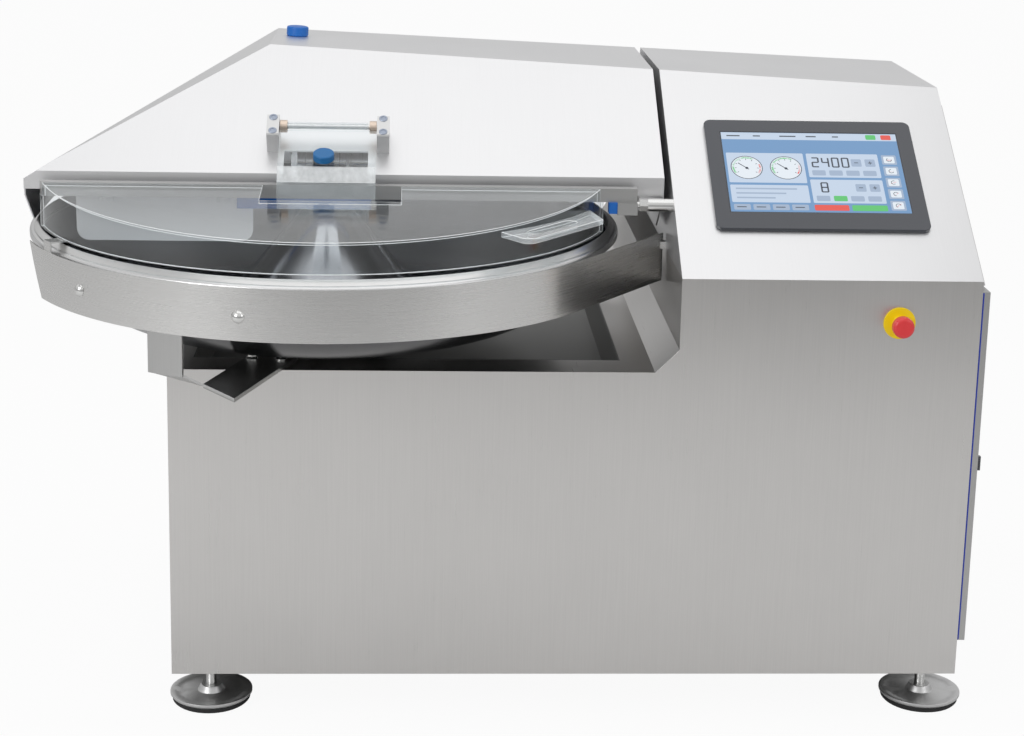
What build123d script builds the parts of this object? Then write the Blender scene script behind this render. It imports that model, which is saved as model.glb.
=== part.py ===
from build123d import *
import math
import os

# Meat bowl cutter: a turning ring-shaped bowl under a swinging knife hood, on a stainless cabinet with a console.
# All sizes are millimetres. Shapes are drawn from the cabinet's lower left front corner on the floor:
# X to the right, Y to the back, Z up. They are moved to the part's own origin when they are written.

# ---- cabinet and console ----
cabinet_width = 1501.0
cabinet_back = 1000.0
cabinet_bottom = 89.0        # height of the cabinet's lower edge above the floor
sheet = 3.0                  # stainless sheet
deck_height = 689.0          # top of the low left part
fold_height = deck_height + 179.0  # front fold where the console slope starts
console_left = 941.0         # left wall of the console
deck_chamfer = 43.5
slope_rise = 0.698           # rise of the console front and the hood front per mm of depth
top_height = fold_height + 322.0   # height of the top above the console's left wall
top_fall = 0.0425            # fall of the top to the right per mm of width
rear_fall = 1.19             # fall of the rear slope per mm of depth
rear_edge_height = fold_height + 97.0   # lower edge of the rear slope, over the cabinet's back
top_back = cabinet_back - (top_height - rear_edge_height) / rear_fall   # back edge of the top

# ---- tray under the bowl ----
tray_left = 40.0
tray_right = console_left - 101.0
tray_front = 80.0
tray_back = cabinet_back - 100.0
tray_floor = deck_height - 47.0
tray_front_run = 70.0        # length of the sloped front wall
tray_side_run = 16.0
tray_lip = 15.0
drain_x = 700.0
drain_y = tray_back - 120.0
drain_radius = 26.0

# ---- frame and feet ----
frame_gap = 0.5              # between the frame tube and the cabinet sheet
frame_tube = 60.0
frame_wall = 4.0
beam_width = 50.0
beam_places = [153.0, 403.0, 790.0, console_left + 99.0]
foot_inset_x = 66.0
foot_right_inset_x = 44.0
foot_inset_y = 87.0
foot_radius = 79.0
foot_plate_thickness = 12.0
foot_plate_reach = 45.0
stud_radius = 10.0
pad_height = 11.0

# ---- bowl ----
bowl_x = 278.0
bowl_y = 370.0
bowl_wall = 5.0
bowl_clearance = 20.0        # between the bowl's underside and the deck
trough_centre = 328.0        # distance of the trough's centre from the bowl's axis
trough_radius = 236.0
trough_height = deck_height + bowl_clearance + bowl_wall + trough_radius   # height of the trough's centre
trough_cone_angle = 38.0     # where the trough runs out into the hub cone, degrees below level
rim_bead_radius = 9.0
rim_centre_z = trough_height - 62.0
rim_joint_z = rim_centre_z - 3.0
rim_centre_radius = trough_centre + trough_radius + 4.0
rim_radius = rim_centre_radius + rim_bead_radius
rim_top = rim_centre_z + rim_bead_radius
hub_top = rim_centre_z + 29.0
hub_top_radius = 50.0
turntable_radius = 128.0
turntable_bottom = tray_floor + 10.0
turntable_plate = 20.0
turntable_wall = 16.0
bowl_shaft_radius = 30.0
bowl_mount_top = tray_floor - 102.0   # thick plate under the bowl bearing housing
bowl_mount_plate = 20.0
bowl_mount_reach = 150.0
housing_barrel = 75.0
bowl_bearing_radius = 55.0
bearing_width = 22.0
running_gap = 0.05
gearbox_height = 160.0

# ---- knives and their drive ----
knife_gap = 8.0              # between the knife tips and the trough
knife_count = 6
knife_pitch = 24.0
knife_thickness = 5.0
knife_clamp_radius = 55.0
knife_sleeve_radius = 38.0
knife_shaft_radius = 25.0
collar_width = 14.0
nose_radius = 44.0           # bearing housing over the bowl's rim
barrel_radius = 55.0         # bearing housing in the console
housing_bore = 36.0
housing_end = console_left + 209.0
housing_flange_radius = 60.0
housing_flange = 8.0
pedestal_x = console_left + 59.0
pedestal_width = 40.0
pedestal_half = 90.0
pulley_x = console_left + 299.0
pulley_width = 56.0
pulley_flange = 6.0
knife_pulley_radius = 85.0
motor_pulley_radius = 120.0
motor_y = 330.0
motor_z = 345.0
motor_radius = 130.0
motor_start = console_left - 201.0
motor_end = motor_start + 400.0
motor_shaft_radius = 24.0
motor_base = 16.0
belt_thickness = 8.0
belt_gap = 0.3

# ---- splash guard round the front of the bowl ----
guard_gap = 11.0             # between the rim and the guard
guard_sheet = 2.0
guard_radius = rim_radius + guard_gap + guard_sheet   # outer face
guard_top = rim_top - 2.0
guard_height = 95.0
guard_tangent_angle = -36.4  # where the guard leaves the circle for the console
guard_end_gap = 4.15         # between the guard's end and the console
guard_end_top_angle = 202.4
guard_end_bottom_angle = 209.2
bracket_sheet = 5.0
bracket_top = guard_top - 45.0
bracket_bottom = deck_height + 40.0
bracket_angles = (240.0, 246.9)
arm_thickness = 8.0
arm_end_left = (78.0, -118.0)
arm_end_right = (140.0, -204.0)
arm_back = 66.0
arm_lean = 0.35              # sideways run of the arm per mm of depth
bolt_radius = 5.0

# ---- hood ----
hood_front = 211.0           # front lip face
hood_right = console_left - 13.0
hood_reach = rim_radius - 11.0   # distance of the upright facets from the bowl's axis
hood_facets = [180, 150, 120, 90]
hood_bottom = rim_top + 6.0
hood_lip_bottom = hood_bottom + 77.0
hood_side_start = hood_bottom + 68.0   # height of the side's lower edge at the front
hood_side_end_y = 300.0
hood_top_left = 157.0        # left end of the flat top
hood_left_rise = 0.49        # rise of the left slope per mm of width
hood_corner_x = -264.0       # front left corner of the slopes
hood_sheet = 3.0
hood_axis_y = cabinet_back - 35.0
hood_axis_z = hood_bottom + 15.0
hood_shaft_radius = 20.0
hood_arm_left = console_left - 141.0
hood_arm_right = console_left - 36.0
hood_bearing_length = 114.0
notch_left = 200.0
notch_right = 360.0
notch_back = 262.0
baffle_y = 300.0
baffle_left = -205.0
baffle_right = 136.0
baffle_bottom = rim_centre_z - 26.0
baffle_top = hood_bottom + 57.0
baffle_thickness = 8.0
scraper_right = 366.0
scraper_bottom = hood_bottom + 27.0
scraper_top = hood_bottom + 50.0
buffer_x = 203.0
buffer_share = 0.5884        # place of the buffer between the top's front and back edges

# ---- filling flap ----
block_left = 167.0
block_right = 377.0
block_width = 23.5
block_length = 56.0
block_height = 48.0
block_along = 314.5          # lower end of the hinge blocks, up the slope from the fold
flap_axis_y = 273.6
flap_axis_z = fold_height + 227.5
flap_rod_radius = 5.0
flap_side_gap = 1.0
flap_sheet = 4.0
flap_bush_width = 13.5
flap_bush_radius = 12.0
flap_path = [(209.0, fold_height + 182.0), (169.5, fold_height + 167.6), (154.5, fold_height + 141.6),
             (154.5, fold_height + 120.6), (154.5, fold_height + 90.6)]

# ---- lid ----
lid_radius = rim_radius - 15.0
lid_bottom = rim_top + 17.0
lid_rear = 188.0
lid_rear_top = lid_bottom + 89.0
lid_front_top = lid_bottom + 58.0
lid_wall = 6.0
lid_bar_depth = 22.0
lid_bar_bottom = lid_bottom + 62.0
lid_bar_top = lid_bottom + 88.0
lid_bar_right = console_left - 69.0
lid_axis_y = 170.0
lid_axis_z = lid_bottom + 57.0
lid_pin_radius = 6.0
lid_tube_radius = 12.5
lid_notch = (165.0, 425.0, 64.0)
handle_outline = [(600.0, -85.0), (649.0, -153.0), (795.0, 29.0), (770.0, 141.0)]
handle_bottom = lid_bottom + 48.0
handle_thickness = 10.0

# ---- console pieces ----
screen_left = console_left + 74.0
screen_width = cabinet_width - console_left - 152.0
screen_height = 291.0
screen_start = 121.0         # distance up the slope from the front fold
screen_proud = 8.0
screen_side = 30.0           # bezel width beside the display
screen_low = 42.0
screen_high = 33.0
estop_x = cabinet_width - 153.0
estop_z = fold_height - 80.0
estop_disc_radius = 30.0
estop_head_radius = 20.0
estop_stem_radius = 8.0
estop_neck_radius = 11.0

# ---- side door and covers ----
door_thickness = 20.0
door_front = 20.0
door_back = cabinet_back - 100.0
door_bottom = cabinet_bottom + 61.0
door_top = fold_height - 25.0
side_cover_bottom = fold_height - 21.0
door_frame = 50.0
gasket_thickness = 2.7
gasket_gap = 0.3
hinge_y = door_back + 12.0
hinge_radius = 7.0
hinge_pin = 3.0
hinge_places = [cabinet_bottom + 171.0, fold_height - 228.0]
vent = (170.0, 830.0, 210.0, 580.0)

# ---- drive electronics ----
inverter_right = cabinet_width - 51.0
inverter_left = inverter_right - 340.0
inverter_back = cabinet_back - 54.0
inverter_plate = 6.0


def block(x0, x1, y0, y1, z0, z1):
    """A box between two corners."""
    return Pos((x0 + x1) / 2, (y0 + y1) / 2, (z0 + z1) / 2) * Box(x1 - x0, y1 - y0, z1 - z0)


def rod_x(x0, x1, y, z, radius):
    return Pos((x0 + x1) / 2, y, z) * Rot(0, 90, 0) * Cylinder(radius, x1 - x0)


def rod_y(x, y0, y1, z, radius):
    return Pos(x, (y0 + y1) / 2, z) * Rot(90, 0, 0) * Cylinder(radius, y1 - y0)


def rod_z(x, y, z0, z1, radius):
    return Pos(x, y, (z0 + z1) / 2) * Cylinder(radius, z1 - z0)


def ring_z(x, y, z0, z1, outer, inner):
    return rod_z(x, y, z0, z1, outer) - rod_z(x, y, z0 - 1, z1 + 1, inner)


def ring_x(x0, x1, y, z, outer, inner):
    return rod_x(x0, x1, y, z, outer) - rod_x(x0 - 1, x1 + 1, y, z, inner)


def face_of(points):
    return make_face(Polyline(*points, close=True))


def prism_x(points, x0, x1):
    """An outline of (y, z) points drawn out along X."""
    plane = Plane(origin=(x0, 0, 0), x_dir=(0, 1, 0), z_dir=(1, 0, 0))
    return extrude(plane * face_of(points), x1 - x0)


def prism_y(points, y0, y1):
    """An outline of (x, z) points drawn out along Y."""
    plane = Plane(origin=(0, y0, 0), x_dir=(1, 0, 0), z_dir=(0, -1, 0))
    return extrude(plane * face_of(points), -(y1 - y0))


def prism_z(points, z0, z1):
    """An outline of (x, y) points drawn out along Z."""
    return extrude(Pos(0, 0, z0) * face_of(points), z1 - z0)


def turned(outline, x, y):
    """A (radius, z) outline turned round an upright axis at x, y."""
    plane = Plane(origin=(0, 0, 0), x_dir=(1, 0, 0), z_dir=(0, -1, 0))
    return Pos(x, y, 0) * revolve(plane * outline, Axis.Z)


def below(solid, point, normal):
    """Cuts away everything on the normal's side of a plane."""
    size = 4 * (cabinet_width + cabinet_back)
    return solid - Plane(origin=point, z_dir=normal) * (Pos(0, 0, size / 2) * Box(size, size, size))


def polar(radius, degrees):
    return (radius * math.cos(math.radians(degrees)), radius * math.sin(math.radians(degrees)))


# ---- planes that the console and the hood share ----
slope_normal = Vector(0, -slope_rise, 1).normalized()
top_normal = Vector(top_fall, 0, 1).normalized()
rear_normal = Vector(0, rear_fall, 1).normalized()
slope_cos = slope_normal.Z
slope_sin = -slope_normal.Y
knife_y = bowl_y + trough_centre
knife_z = trough_height
knife_radius = trough_radius - knife_gap
inside = sheet + frame_gap


def top_z(x):
    return top_height - top_fall * (x - console_left)


def slope_z(y):
    return fold_height + slope_rise * y


def under_roof(solid, inset):
    """Cuts a solid by the front slope, the falling top and the rear slope, each moved inwards by inset."""
    solid = below(solid, Vector(0, 0, fold_height) - slope_normal * inset, slope_normal)
    solid = below(solid, Vector(console_left, 0, top_height) - top_normal * inset, top_normal)
    return below(solid, Vector(console_left, top_back, top_height) - rear_normal * inset, rear_normal)


def slope_plane(x, along, out=0.0):
    """A plane on the front slope: x, distance up the slope from the fold, height above the sheet."""
    origin = (x, along * slope_cos - out * slope_sin, fold_height + along * slope_sin + out * slope_cos)
    return Plane(origin=origin, x_dir=(1, 0, 0), z_dir=slope_normal)


def slope_block(x0, x1, along0, along1, out0, out1):
    box = Pos((x1 - x0) / 2, (along1 - along0) / 2, (out1 - out0) / 2) * Box(x1 - x0, along1 - along0, out1 - out0)
    return slope_plane(x0, along0, out0) * box


# ================= cabinet =================
def make_base_cabinet():
    """The folded lower cabinet: low deck on the left, a chamfered step and the console's lower half."""
    slant = sheet * math.tan(math.radians(22.5))
    step = [(0, cabinet_bottom), (cabinet_width, cabinet_bottom), (cabinet_width, fold_height),
            (console_left, fold_height), (console_left, deck_height + deck_chamfer),
            (console_left - deck_chamfer, deck_height), (0, deck_height)]
    hollow = [(sheet, cabinet_bottom - 1), (cabinet_width - sheet, cabinet_bottom - 1),
              (cabinet_width - sheet, fold_height + 1), (console_left + sheet, fold_height + 1),
              (console_left + sheet, deck_height + deck_chamfer - slant),
              (console_left - deck_chamfer + slant, deck_height - sheet), (sheet, deck_height - sheet)]
    shell = prism_y(step, 0, cabinet_back) - prism_y(hollow, sheet, cabinet_back - sheet)
    shell -= block(cabinet_width - 2 * sheet, cabinet_width + 1, door_front + door_frame, door_back - door_frame,
                   door_bottom + door_frame, door_top - door_frame)
    shell -= block(tray_left, tray_right, tray_front, tray_back, deck_height - 2 * sheet, deck_height + 1)
    shell -= block(vent[0], vent[1], cabinet_back - 2 * sheet, cabinet_back + 1, vent[2], vent[3])
    for x, y in arm_bolt_places:
        shell -= rod_z(x, y, deck_height - 2 * sheet, deck_height + 1, bolt_radius)
    return shell - rod_y(estop_x, -1, 2 * sheet, estop_z, estop_neck_radius)


def make_console_housing():
    """The sloped console above the fold."""
    outer = block(console_left, cabinet_width, 0, cabinet_back, fold_height, top_height + 100)
    inner = block(console_left + sheet, cabinet_width - sheet, -sheet, cabinet_back - sheet,
                  fold_height - 1, top_height + 100)
    shell = under_roof(outer, 0) - under_roof(inner, sheet)
    shell -= rod_x(console_left - 1, console_left + 2 * sheet, knife_y, knife_z, nose_radius)
    shell -= rod_x(console_left - 1, console_left + 2 * sheet, hood_axis_y, hood_axis_z, hood_shaft_radius + 1)
    shell -= rod_x(console_left - 1, console_left + 2 * sheet, lid_axis_y, lid_axis_z, lid_pin_radius)
    margin = 22.0
    return shell - slope_block(screen_left + margin, screen_left + screen_width - margin, screen_start + margin,
                               screen_start + screen_height - margin, -2 * sheet, 1)


def make_deck_tray():
    """A sunk tray with a sloped front wall, a lip under the deck, a bearing hole and a drain."""
    def pan(inset, drop):
        floor_z = tray_floor - drop
        top = Pos(0, 0, deck_height) * face_of([(tray_left + inset, tray_front + inset),
                                                (tray_right - inset, tray_front + inset),
                                                (tray_right - inset, tray_back - inset),
                                                (tray_left + inset, tray_back - inset)])
        left = tray_left + tray_side_run + inset
        right = tray_right - tray_side_run - inset
        front = tray_front + tray_front_run + inset
        back = tray_back - tray_side_run - inset
        floor = Pos(0, 0, floor_z) * face_of([(left, front), (right, front), (right, back), (left, back)])
        return loft([floor, top])
    tray = pan(0, sheet)
    tray += block(tray_left - tray_lip, tray_right + tray_lip, tray_front - tray_lip, tray_back + tray_lip,
                  deck_height - 2 * sheet, deck_height - sheet)
    tray += rod_z(drain_x, drain_y, tray_floor - 60, tray_floor, drain_radius)
    tray -= pan(sheet, 0)
    tray -= rod_z(drain_x, drain_y, tray_floor - 61, tray_floor + 1, drain_radius - sheet)
    return tray - rod_z(bowl_x, bowl_y, tray_floor - 2 * sheet, tray_floor + 1, bowl_shaft_radius + 10)


def make_deck_apron():
    """A bent sheet from the console wall down beside the bowl."""
    bend = (console_left - 41, fold_height - 18)
    edge = (console_left - 71, fold_height - 68)
    top = [(console_left, fold_height + 2), bend, edge]
    low = [(edge[0] + sheet, edge[1] - sheet), (bend[0] + sheet, bend[1] - sheet), (console_left, fold_height - 2)]
    return prism_y(top + low, bowl_y + 10, cabinet_back - 100)


def foot_places():
    return [(x, y) for x in (foot_inset_x, cabinet_width - foot_right_inset_x)
            for y in (foot_inset_y, cabinet_back - foot_inset_y)]


def make_base_frame():
    """A welded ring of square tube with cross beams, foot plates, the bowl's mount and the motor's base."""
    low = cabinet_bottom
    high = cabinet_bottom + frame_tube

    def ring(wall, z0, z1):
        outer = block(inside + wall, cabinet_width - inside - wall, inside + wall, cabinet_back - inside - wall, z0, z1)
        hole = inside + frame_tube - wall
        return outer - block(hole, cabinet_width - hole, hole, cabinet_back - hole, z0 - 1, z1 + 1)
    frame = ring(0, low, high) - ring(frame_wall, low + frame_wall, high - frame_wall)
    for x in beam_places:
        beam = block(x - beam_width / 2, x + beam_width / 2, inside + frame_tube, cabinet_back - inside - frame_tube,
                     low, high)
        frame += beam - block(x - beam_width / 2 + frame_wall, x + beam_width / 2 - frame_wall, inside + frame_tube,
                              cabinet_back - inside - frame_tube, low + frame_wall, high - frame_wall)
    for x, y in foot_places():
        x_side = inside if x < cabinet_width / 2 else cabinet_width - inside
        y_side = inside if y < cabinet_back / 2 else cabinet_back - inside
        reach_x = x + math.copysign(foot_plate_reach, x - x_side)
        reach_y = y + math.copysign(foot_plate_reach, y - y_side)
        frame += block(min(x_side, reach_x), max(x_side, reach_x), min(y_side, reach_y), max(y_side, reach_y),
                       low, low + foot_plate_thickness)
        frame -= rod_z(x, y, low - 1, low + foot_plate_thickness + 8, stud_radius)
    mount = block(bowl_x - bowl_mount_reach, bowl_x + bowl_mount_reach, bowl_y - bowl_mount_reach,
                  bowl_y + bowl_mount_reach, bowl_mount_top - bowl_mount_plate, bowl_mount_top)
    for x in beam_places[:2]:
        for y in (bowl_y - bowl_mount_reach + beam_width / 2, bowl_y + bowl_mount_reach - beam_width / 2):
            mount += block(x - beam_width / 2, x + beam_width / 2, y - beam_width / 2, y + beam_width / 2,
                           high, bowl_mount_top - bowl_mount_plate)
    mount -= rod_z(bowl_x, bowl_y, bowl_mount_top - bowl_mount_plate - 1, bowl_mount_top + 1, bowl_shaft_radius + 6)
    base = block(motor_start, motor_end, motor_y - 150, motor_y + 150, high, high + motor_base)
    return frame + mount + base


def make_foot_disc(x, y):
    """A dished steel disc with a raised socket for the stud."""
    r = foot_radius
    z = pad_height
    outline = face_of([(stud_radius, z), (r - 4, z), (r, z + 4), (r, z + 9), (r - 3, z + 9), (r - 22, z + 5),
                       (stud_radius + 16, z + 8), (stud_radius + 10, z + 20), (stud_radius, z + 20)])
    return turned(outline, x, y)


def make_foot_pad(x, y):
    r = foot_radius
    return turned(face_of([(0, 0), (r - 8, 0), (r - 4, 4), (r - 4, pad_height), (0, pad_height)]), x, y)


def make_foot_stud(x, y):
    """A stud with its lock nut under the foot plate."""
    stud = rod_z(x, y, pad_height, cabinet_bottom + foot_plate_thickness + 6, stud_radius)
    return stud + Pos(x, y, cabinet_bottom - 14) * extrude(RegularPolygon(18, 6), 14)


def make_side_cover():
    """The fixed upper side cover, a shallow pan under the console's roof line."""
    drop = 60.0
    bottom = side_cover_bottom
    top = top_z(cabinet_width) - 40
    low_y = (bottom + drop - fold_height) / slope_rise
    high_y = (top + drop - fold_height) / slope_rise
    points = [(low_y, bottom), (high_y, top), (top_back - 30, top), (door_back, bottom + 150), (door_back, bottom)]
    outer = prism_x(points, cabinet_width, cabinet_width + door_thickness)
    plane = Plane(origin=(cabinet_width - 1, 0, 0), x_dir=(0, 1, 0), z_dir=(1, 0, 0))
    hollow = offset(face_of(points), -sheet, kind=Kind.INTERSECTION)
    return outer - extrude(plane * hollow, door_thickness + 1 - sheet)


def make_rear_panel():
    """A service panel with louvres behind the opening in the back wall."""
    y = cabinet_back - sheet
    lap = 20.0
    panel = block(vent[0] - lap, vent[1] + lap, y - sheet, y, vent[2] - lap, vent[3] + lap)
    for i in range(8):
        z = vent[2] + 40 + i * 38
        panel -= block(vent[0] + 60, vent[1] - 60, y - sheet - 1, y + 1, z, z + 12)
        panel += prism_x([(y, z + 12), (y, z + 15), (cabinet_back - 0.5, z), (cabinet_back - 0.5, z - 3)],
                         vent[0] + 60, vent[1] - 60)
    return panel


# ================= bowl and its drive =================
def trough_arc(radius, z_rim):
    """The trough's round section from the hub cone to the rim."""
    cone_x, cone_z = polar(radius, 180 + trough_cone_angle)
    rim_x = math.sqrt(radius ** 2 - (trough_height - z_rim) ** 2)
    return ThreePointArc((trough_centre + cone_x, trough_height + cone_z),
                         (trough_centre, trough_height - radius), (trough_centre + rim_x, z_rim))


inner_arc = trough_arc(trough_radius, rim_joint_z)
outer_arc = trough_arc(trough_radius + bowl_wall, rim_joint_z)
cone_foot = outer_arc @ 0
cone_head = (hub_top_radius - 4, hub_top - bowl_wall)


def under_cone(r):
    """Height of the bowl's underside at a radius within the hub cone."""
    return cone_head[1] - (r - cone_head[0]) * (cone_head[1] - cone_foot.Y) / (cone_foot.X - cone_head[0])


def make_bowl():
    """A turned trough with a closed hub cone in the middle and a rolled rim."""
    outline = make_face([inner_arc, Line(inner_arc @ 1, outer_arc @ 1), outer_arc,
                         Polyline(outer_arc @ 0, cone_head, (0, hub_top - bowl_wall), (0, hub_top),
                                  (hub_top_radius, hub_top), inner_arc @ 0)])
    bead = Pos(rim_centre_radius, rim_centre_z) * Circle(rim_bead_radius)
    return turned(outline + bead, bowl_x, bowl_y)


def make_bowl_hub():
    """The turntable that carries the bowl: a plate, an outer wall and an inner tube."""
    tube = bowl_shaft_radius + 18
    z = turntable_bottom + turntable_plate
    wall = turntable_radius - turntable_wall
    outline = face_of([(bowl_shaft_radius, turntable_bottom), (turntable_radius, turntable_bottom),
                       (turntable_radius, under_cone(turntable_radius)), (wall, under_cone(wall)), (wall, z),
                       (tube, z), (tube, under_cone(tube)), cone_head, (bowl_shaft_radius, cone_head[1])])
    return turned(outline, bowl_x, bowl_y)


def make_bowl_bearing_housing():
    top = tray_floor - sheet
    housing = rod_z(bowl_x, bowl_y, bowl_mount_top, top, housing_barrel)
    housing += rod_z(bowl_x, bowl_y, top - 10, top, housing_barrel + 25)
    return housing - rod_z(bowl_x, bowl_y, bowl_mount_top - 1, top + 1, bowl_bearing_radius)


def make_bowl_bearings():
    places = (bowl_mount_top + 5, tray_floor - sheet - bearing_width - 5)
    return Compound([ring_z(bowl_x, bowl_y, z, z + bearing_width, bowl_bearing_radius,
                            bowl_shaft_radius + running_gap) for z in places])


def make_motor(x0, x1, y, z, radius, fins):
    """A motor body with cooling fins as turned rings, an end shield and a fan cowl."""
    body = rod_x(x0, x1, y, z, radius * 0.86)
    body += rod_x(x0, x0 + 60, y, z, radius)
    body += rod_x(x1 - 14, x1, y, z, radius)
    pitch = (x1 - x0 - 90) / fins
    for i in range(fins):
        start = x0 + 68 + i * pitch
        body += rod_x(start, start + pitch * 0.4, y, z, radius * 0.97)
    return body


def make_bowl_gearmotor():
    """A worm gearbox with a hollow output, hung under the mount plate, with its motor."""
    top = bowl_mount_top - bowl_mount_plate
    box = block(bowl_x - 120, bowl_x + 120, bowl_y - 95, bowl_y + 95, top - gearbox_height, top)
    box = fillet(box.edges().filter_by(Axis.Z), 18)
    box -= rod_z(bowl_x, bowl_y, top - gearbox_height - 1, top + 1, bowl_shaft_radius + running_gap)
    drive = rod_x(bowl_x + 119, bowl_x + 370, bowl_y, top - gearbox_height / 2, 70)
    drive += rod_x(bowl_x + 119, bowl_x + 135, bowl_y, top - gearbox_height / 2, 78)
    drive += rod_x(bowl_x + 310, bowl_x + 370, bowl_y, top - gearbox_height / 2, 78)
    return box + drive


# ================= knives and their drive =================
first_knife = bowl_x - ((knife_count - 1) * knife_pitch + knife_thickness) / 2
last_knife = first_knife + (knife_count - 1) * knife_pitch
nose_start = last_knife + knife_thickness + collar_width + 4
pulley_end = pulley_x + pulley_width


def make_knife(x, turn):
    """A sickle blade on a clamping ring."""
    tip = knife_radius - 0.5
    edge = ThreePointArc(polar(knife_clamp_radius + 2, -50), polar(tip * 0.68, 2), polar(tip, 58))
    back = ThreePointArc(polar(tip - 13, 66), polar(tip * 0.5, 64), polar(knife_clamp_radius, 112))
    blade = make_face([edge, Line(edge @ 1, back @ 0), back, Line(back @ 1, (0, 0)), Line((0, 0), edge @ 0)])
    outline = blade + Circle(knife_clamp_radius + 6) - Circle(knife_sleeve_radius)
    plane = Plane(origin=(x, knife_y, knife_z), x_dir=(0, 1, 0), z_dir=(1, 0, 0))
    return extrude(plane * (Rot(0, 0, turn) * outline), knife_thickness)


def make_knife_blades():
    turns = [180 * (i % 2) + 60 * (i // 2) for i in range(knife_count)]
    return Compound([make_knife(first_knife + i * knife_pitch, turn) for i, turn in enumerate(turns)])


def make_knife_head():
    """The sleeve that carries the knives: spacer rings, a collar and a round clamping nut."""
    end = last_knife + knife_thickness
    start = first_knife - 26
    head = rod_x(start, end + collar_width, knife_y, knife_z, knife_sleeve_radius)
    head += rod_x(end, end + collar_width, knife_y, knife_z, knife_clamp_radius)
    nut = rod_x(start, first_knife, knife_y, knife_z, knife_clamp_radius)
    nut = chamfer(nut.edges().sort_by(Axis.X)[0], 8)
    for side in (-1, 1):
        middle = knife_y + side * (knife_clamp_radius + 2)
        nut -= block(start - 1, start + 14, middle - 14, middle + 14, knife_z - 80, knife_z + 80)
    head += nut
    for i in range(knife_count - 1):
        x = first_knife + i * knife_pitch
        head += rod_x(x + knife_thickness, x + knife_pitch, knife_y, knife_z, knife_clamp_radius - 5)
    return head - rod_x(start + 14, end + collar_width + 1, knife_y, knife_z, knife_shaft_radius)


def make_knife_bearing_housing():
    """A long bearing tube that reaches over the bowl's rim, with a flange on the console's wall."""
    tube = rod_x(nose_start, console_left + sheet, knife_y, knife_z, nose_radius)
    tube += rod_x(console_left + sheet, housing_end, knife_y, knife_z, barrel_radius)
    tube += rod_x(console_left - housing_flange, console_left, knife_y, knife_z, housing_flange_radius)
    return tube - rod_x(nose_start - 1, housing_end + 1, knife_y, knife_z, housing_bore)


def make_knife_bearings():
    places = (nose_start + 12, housing_end - 12 - bearing_width)
    return Compound([ring_x(x, x + bearing_width, knife_y, knife_z, housing_bore, knife_shaft_radius + running_gap)
                     for x in places])


def make_bearing_pedestal():
    """A stiff upright plate on the frame that carries the knife bearing tube."""
    base = cabinet_bottom + frame_tube
    top = knife_z + barrel_radius + 25
    plate = block(pedestal_x, pedestal_x + pedestal_width, knife_y - pedestal_half, knife_y + pedestal_half, base, top)
    plate = chamfer(plate.edges().filter_by(Axis.X).sort_by(Axis.Z)[-2:], 40)
    plate += block(pedestal_x - 20, pedestal_x + 110, knife_y - pedestal_half, knife_y + pedestal_half, base, base + 24)
    plate += prism_y([(pedestal_x + pedestal_width - 1, base + 23), (pedestal_x + 110, base + 23),
                      (pedestal_x + pedestal_width + 6, base + 420), (pedestal_x + pedestal_width - 1, base + 420)],
                     knife_y - 12, knife_y + 12)
    return plate - rod_x(pedestal_x - 1, pedestal_x + pedestal_width + 1, knife_y, knife_z, barrel_radius)


def make_pulley(y, z, radius, bore):
    """A belt pulley with two side flanges and a dished web."""
    body = rod_x(pulley_x, pulley_end, y, z, radius)
    body += rod_x(pulley_x, pulley_x + pulley_flange, y, z, radius + 10)
    body += rod_x(pulley_end - pulley_flange, pulley_end, y, z, radius + 10)
    web = radius - 16
    body -= ring_x(pulley_x - 1, pulley_x + 18, y, z, web, bore + 18)
    body -= ring_x(pulley_end - 18, pulley_end + 1, y, z, web, bore + 18)
    return body - rod_x(pulley_x - 1, pulley_end + 1, y, z, bore)


def belt_outline(extra):
    small = Pos(knife_y, knife_z) * Circle(knife_pulley_radius + extra)
    large = Pos(motor_y, motor_z) * Circle(motor_pulley_radius + extra)
    return make_hull((small + large).edges())


def make_drive_belt():
    clear = 0.6
    start = pulley_x + pulley_flange + clear
    width = pulley_width - 2 * (pulley_flange + clear)
    plane = Plane(origin=(start, 0, 0), x_dir=(0, 1, 0), z_dir=(1, 0, 0))
    band = extrude(plane * belt_outline(belt_gap + belt_thickness), width)
    return band - extrude(plane * belt_outline(belt_gap), width)


def make_knife_motor():
    base = cabinet_bottom + frame_tube + motor_base
    motor = make_motor(motor_start, motor_end, motor_y, motor_z, motor_radius, 9)
    for x in (motor_start + 90, motor_end - 130):
        motor += block(x, x + 60, motor_y - 110, motor_y + 110, base, motor_z - 90)
    motor += block(motor_start + 150, motor_end - 130, motor_y - 60, motor_y + 60, motor_z + 90, motor_z + 175)
    return motor - rod_x(motor_end - 40, motor_end + 1, motor_y, motor_z, motor_shaft_radius + running_gap)


def make_motor_pulley():
    pulley = make_pulley(motor_y, motor_z, motor_pulley_radius, motor_shaft_radius - 1)
    return pulley + rod_x(motor_end - 38, pulley_end, motor_y, motor_z, motor_shaft_radius)


def make_inverter_unit():
    """Drive electronics on an upright back plate."""
    base = cabinet_bottom + frame_tube
    left = inverter_left
    right = inverter_right
    face = inverter_back - inverter_plate
    unit = block(left, right, face, inverter_back, base, base + 471)
    unit += block(left + 20, left + 180, face - 130, face, base + 91, base + 431)
    unit += block(right - 140, right - 20, face - 80, face, base + 251, base + 411)
    unit += block(right - 140, right - 20, face - 60, face, base + 91, base + 181)
    for i in range(6):
        rib = left + 35 + i * 23
        unit -= block(rib, rib + 9, face - 140, face - 115, base + 111, base + 411)
    return unit


# ================= guard =================
def ring_point(radius, degrees):
    x, y = polar(radius, degrees)
    return (bowl_x + x, bowl_y + y)


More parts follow.
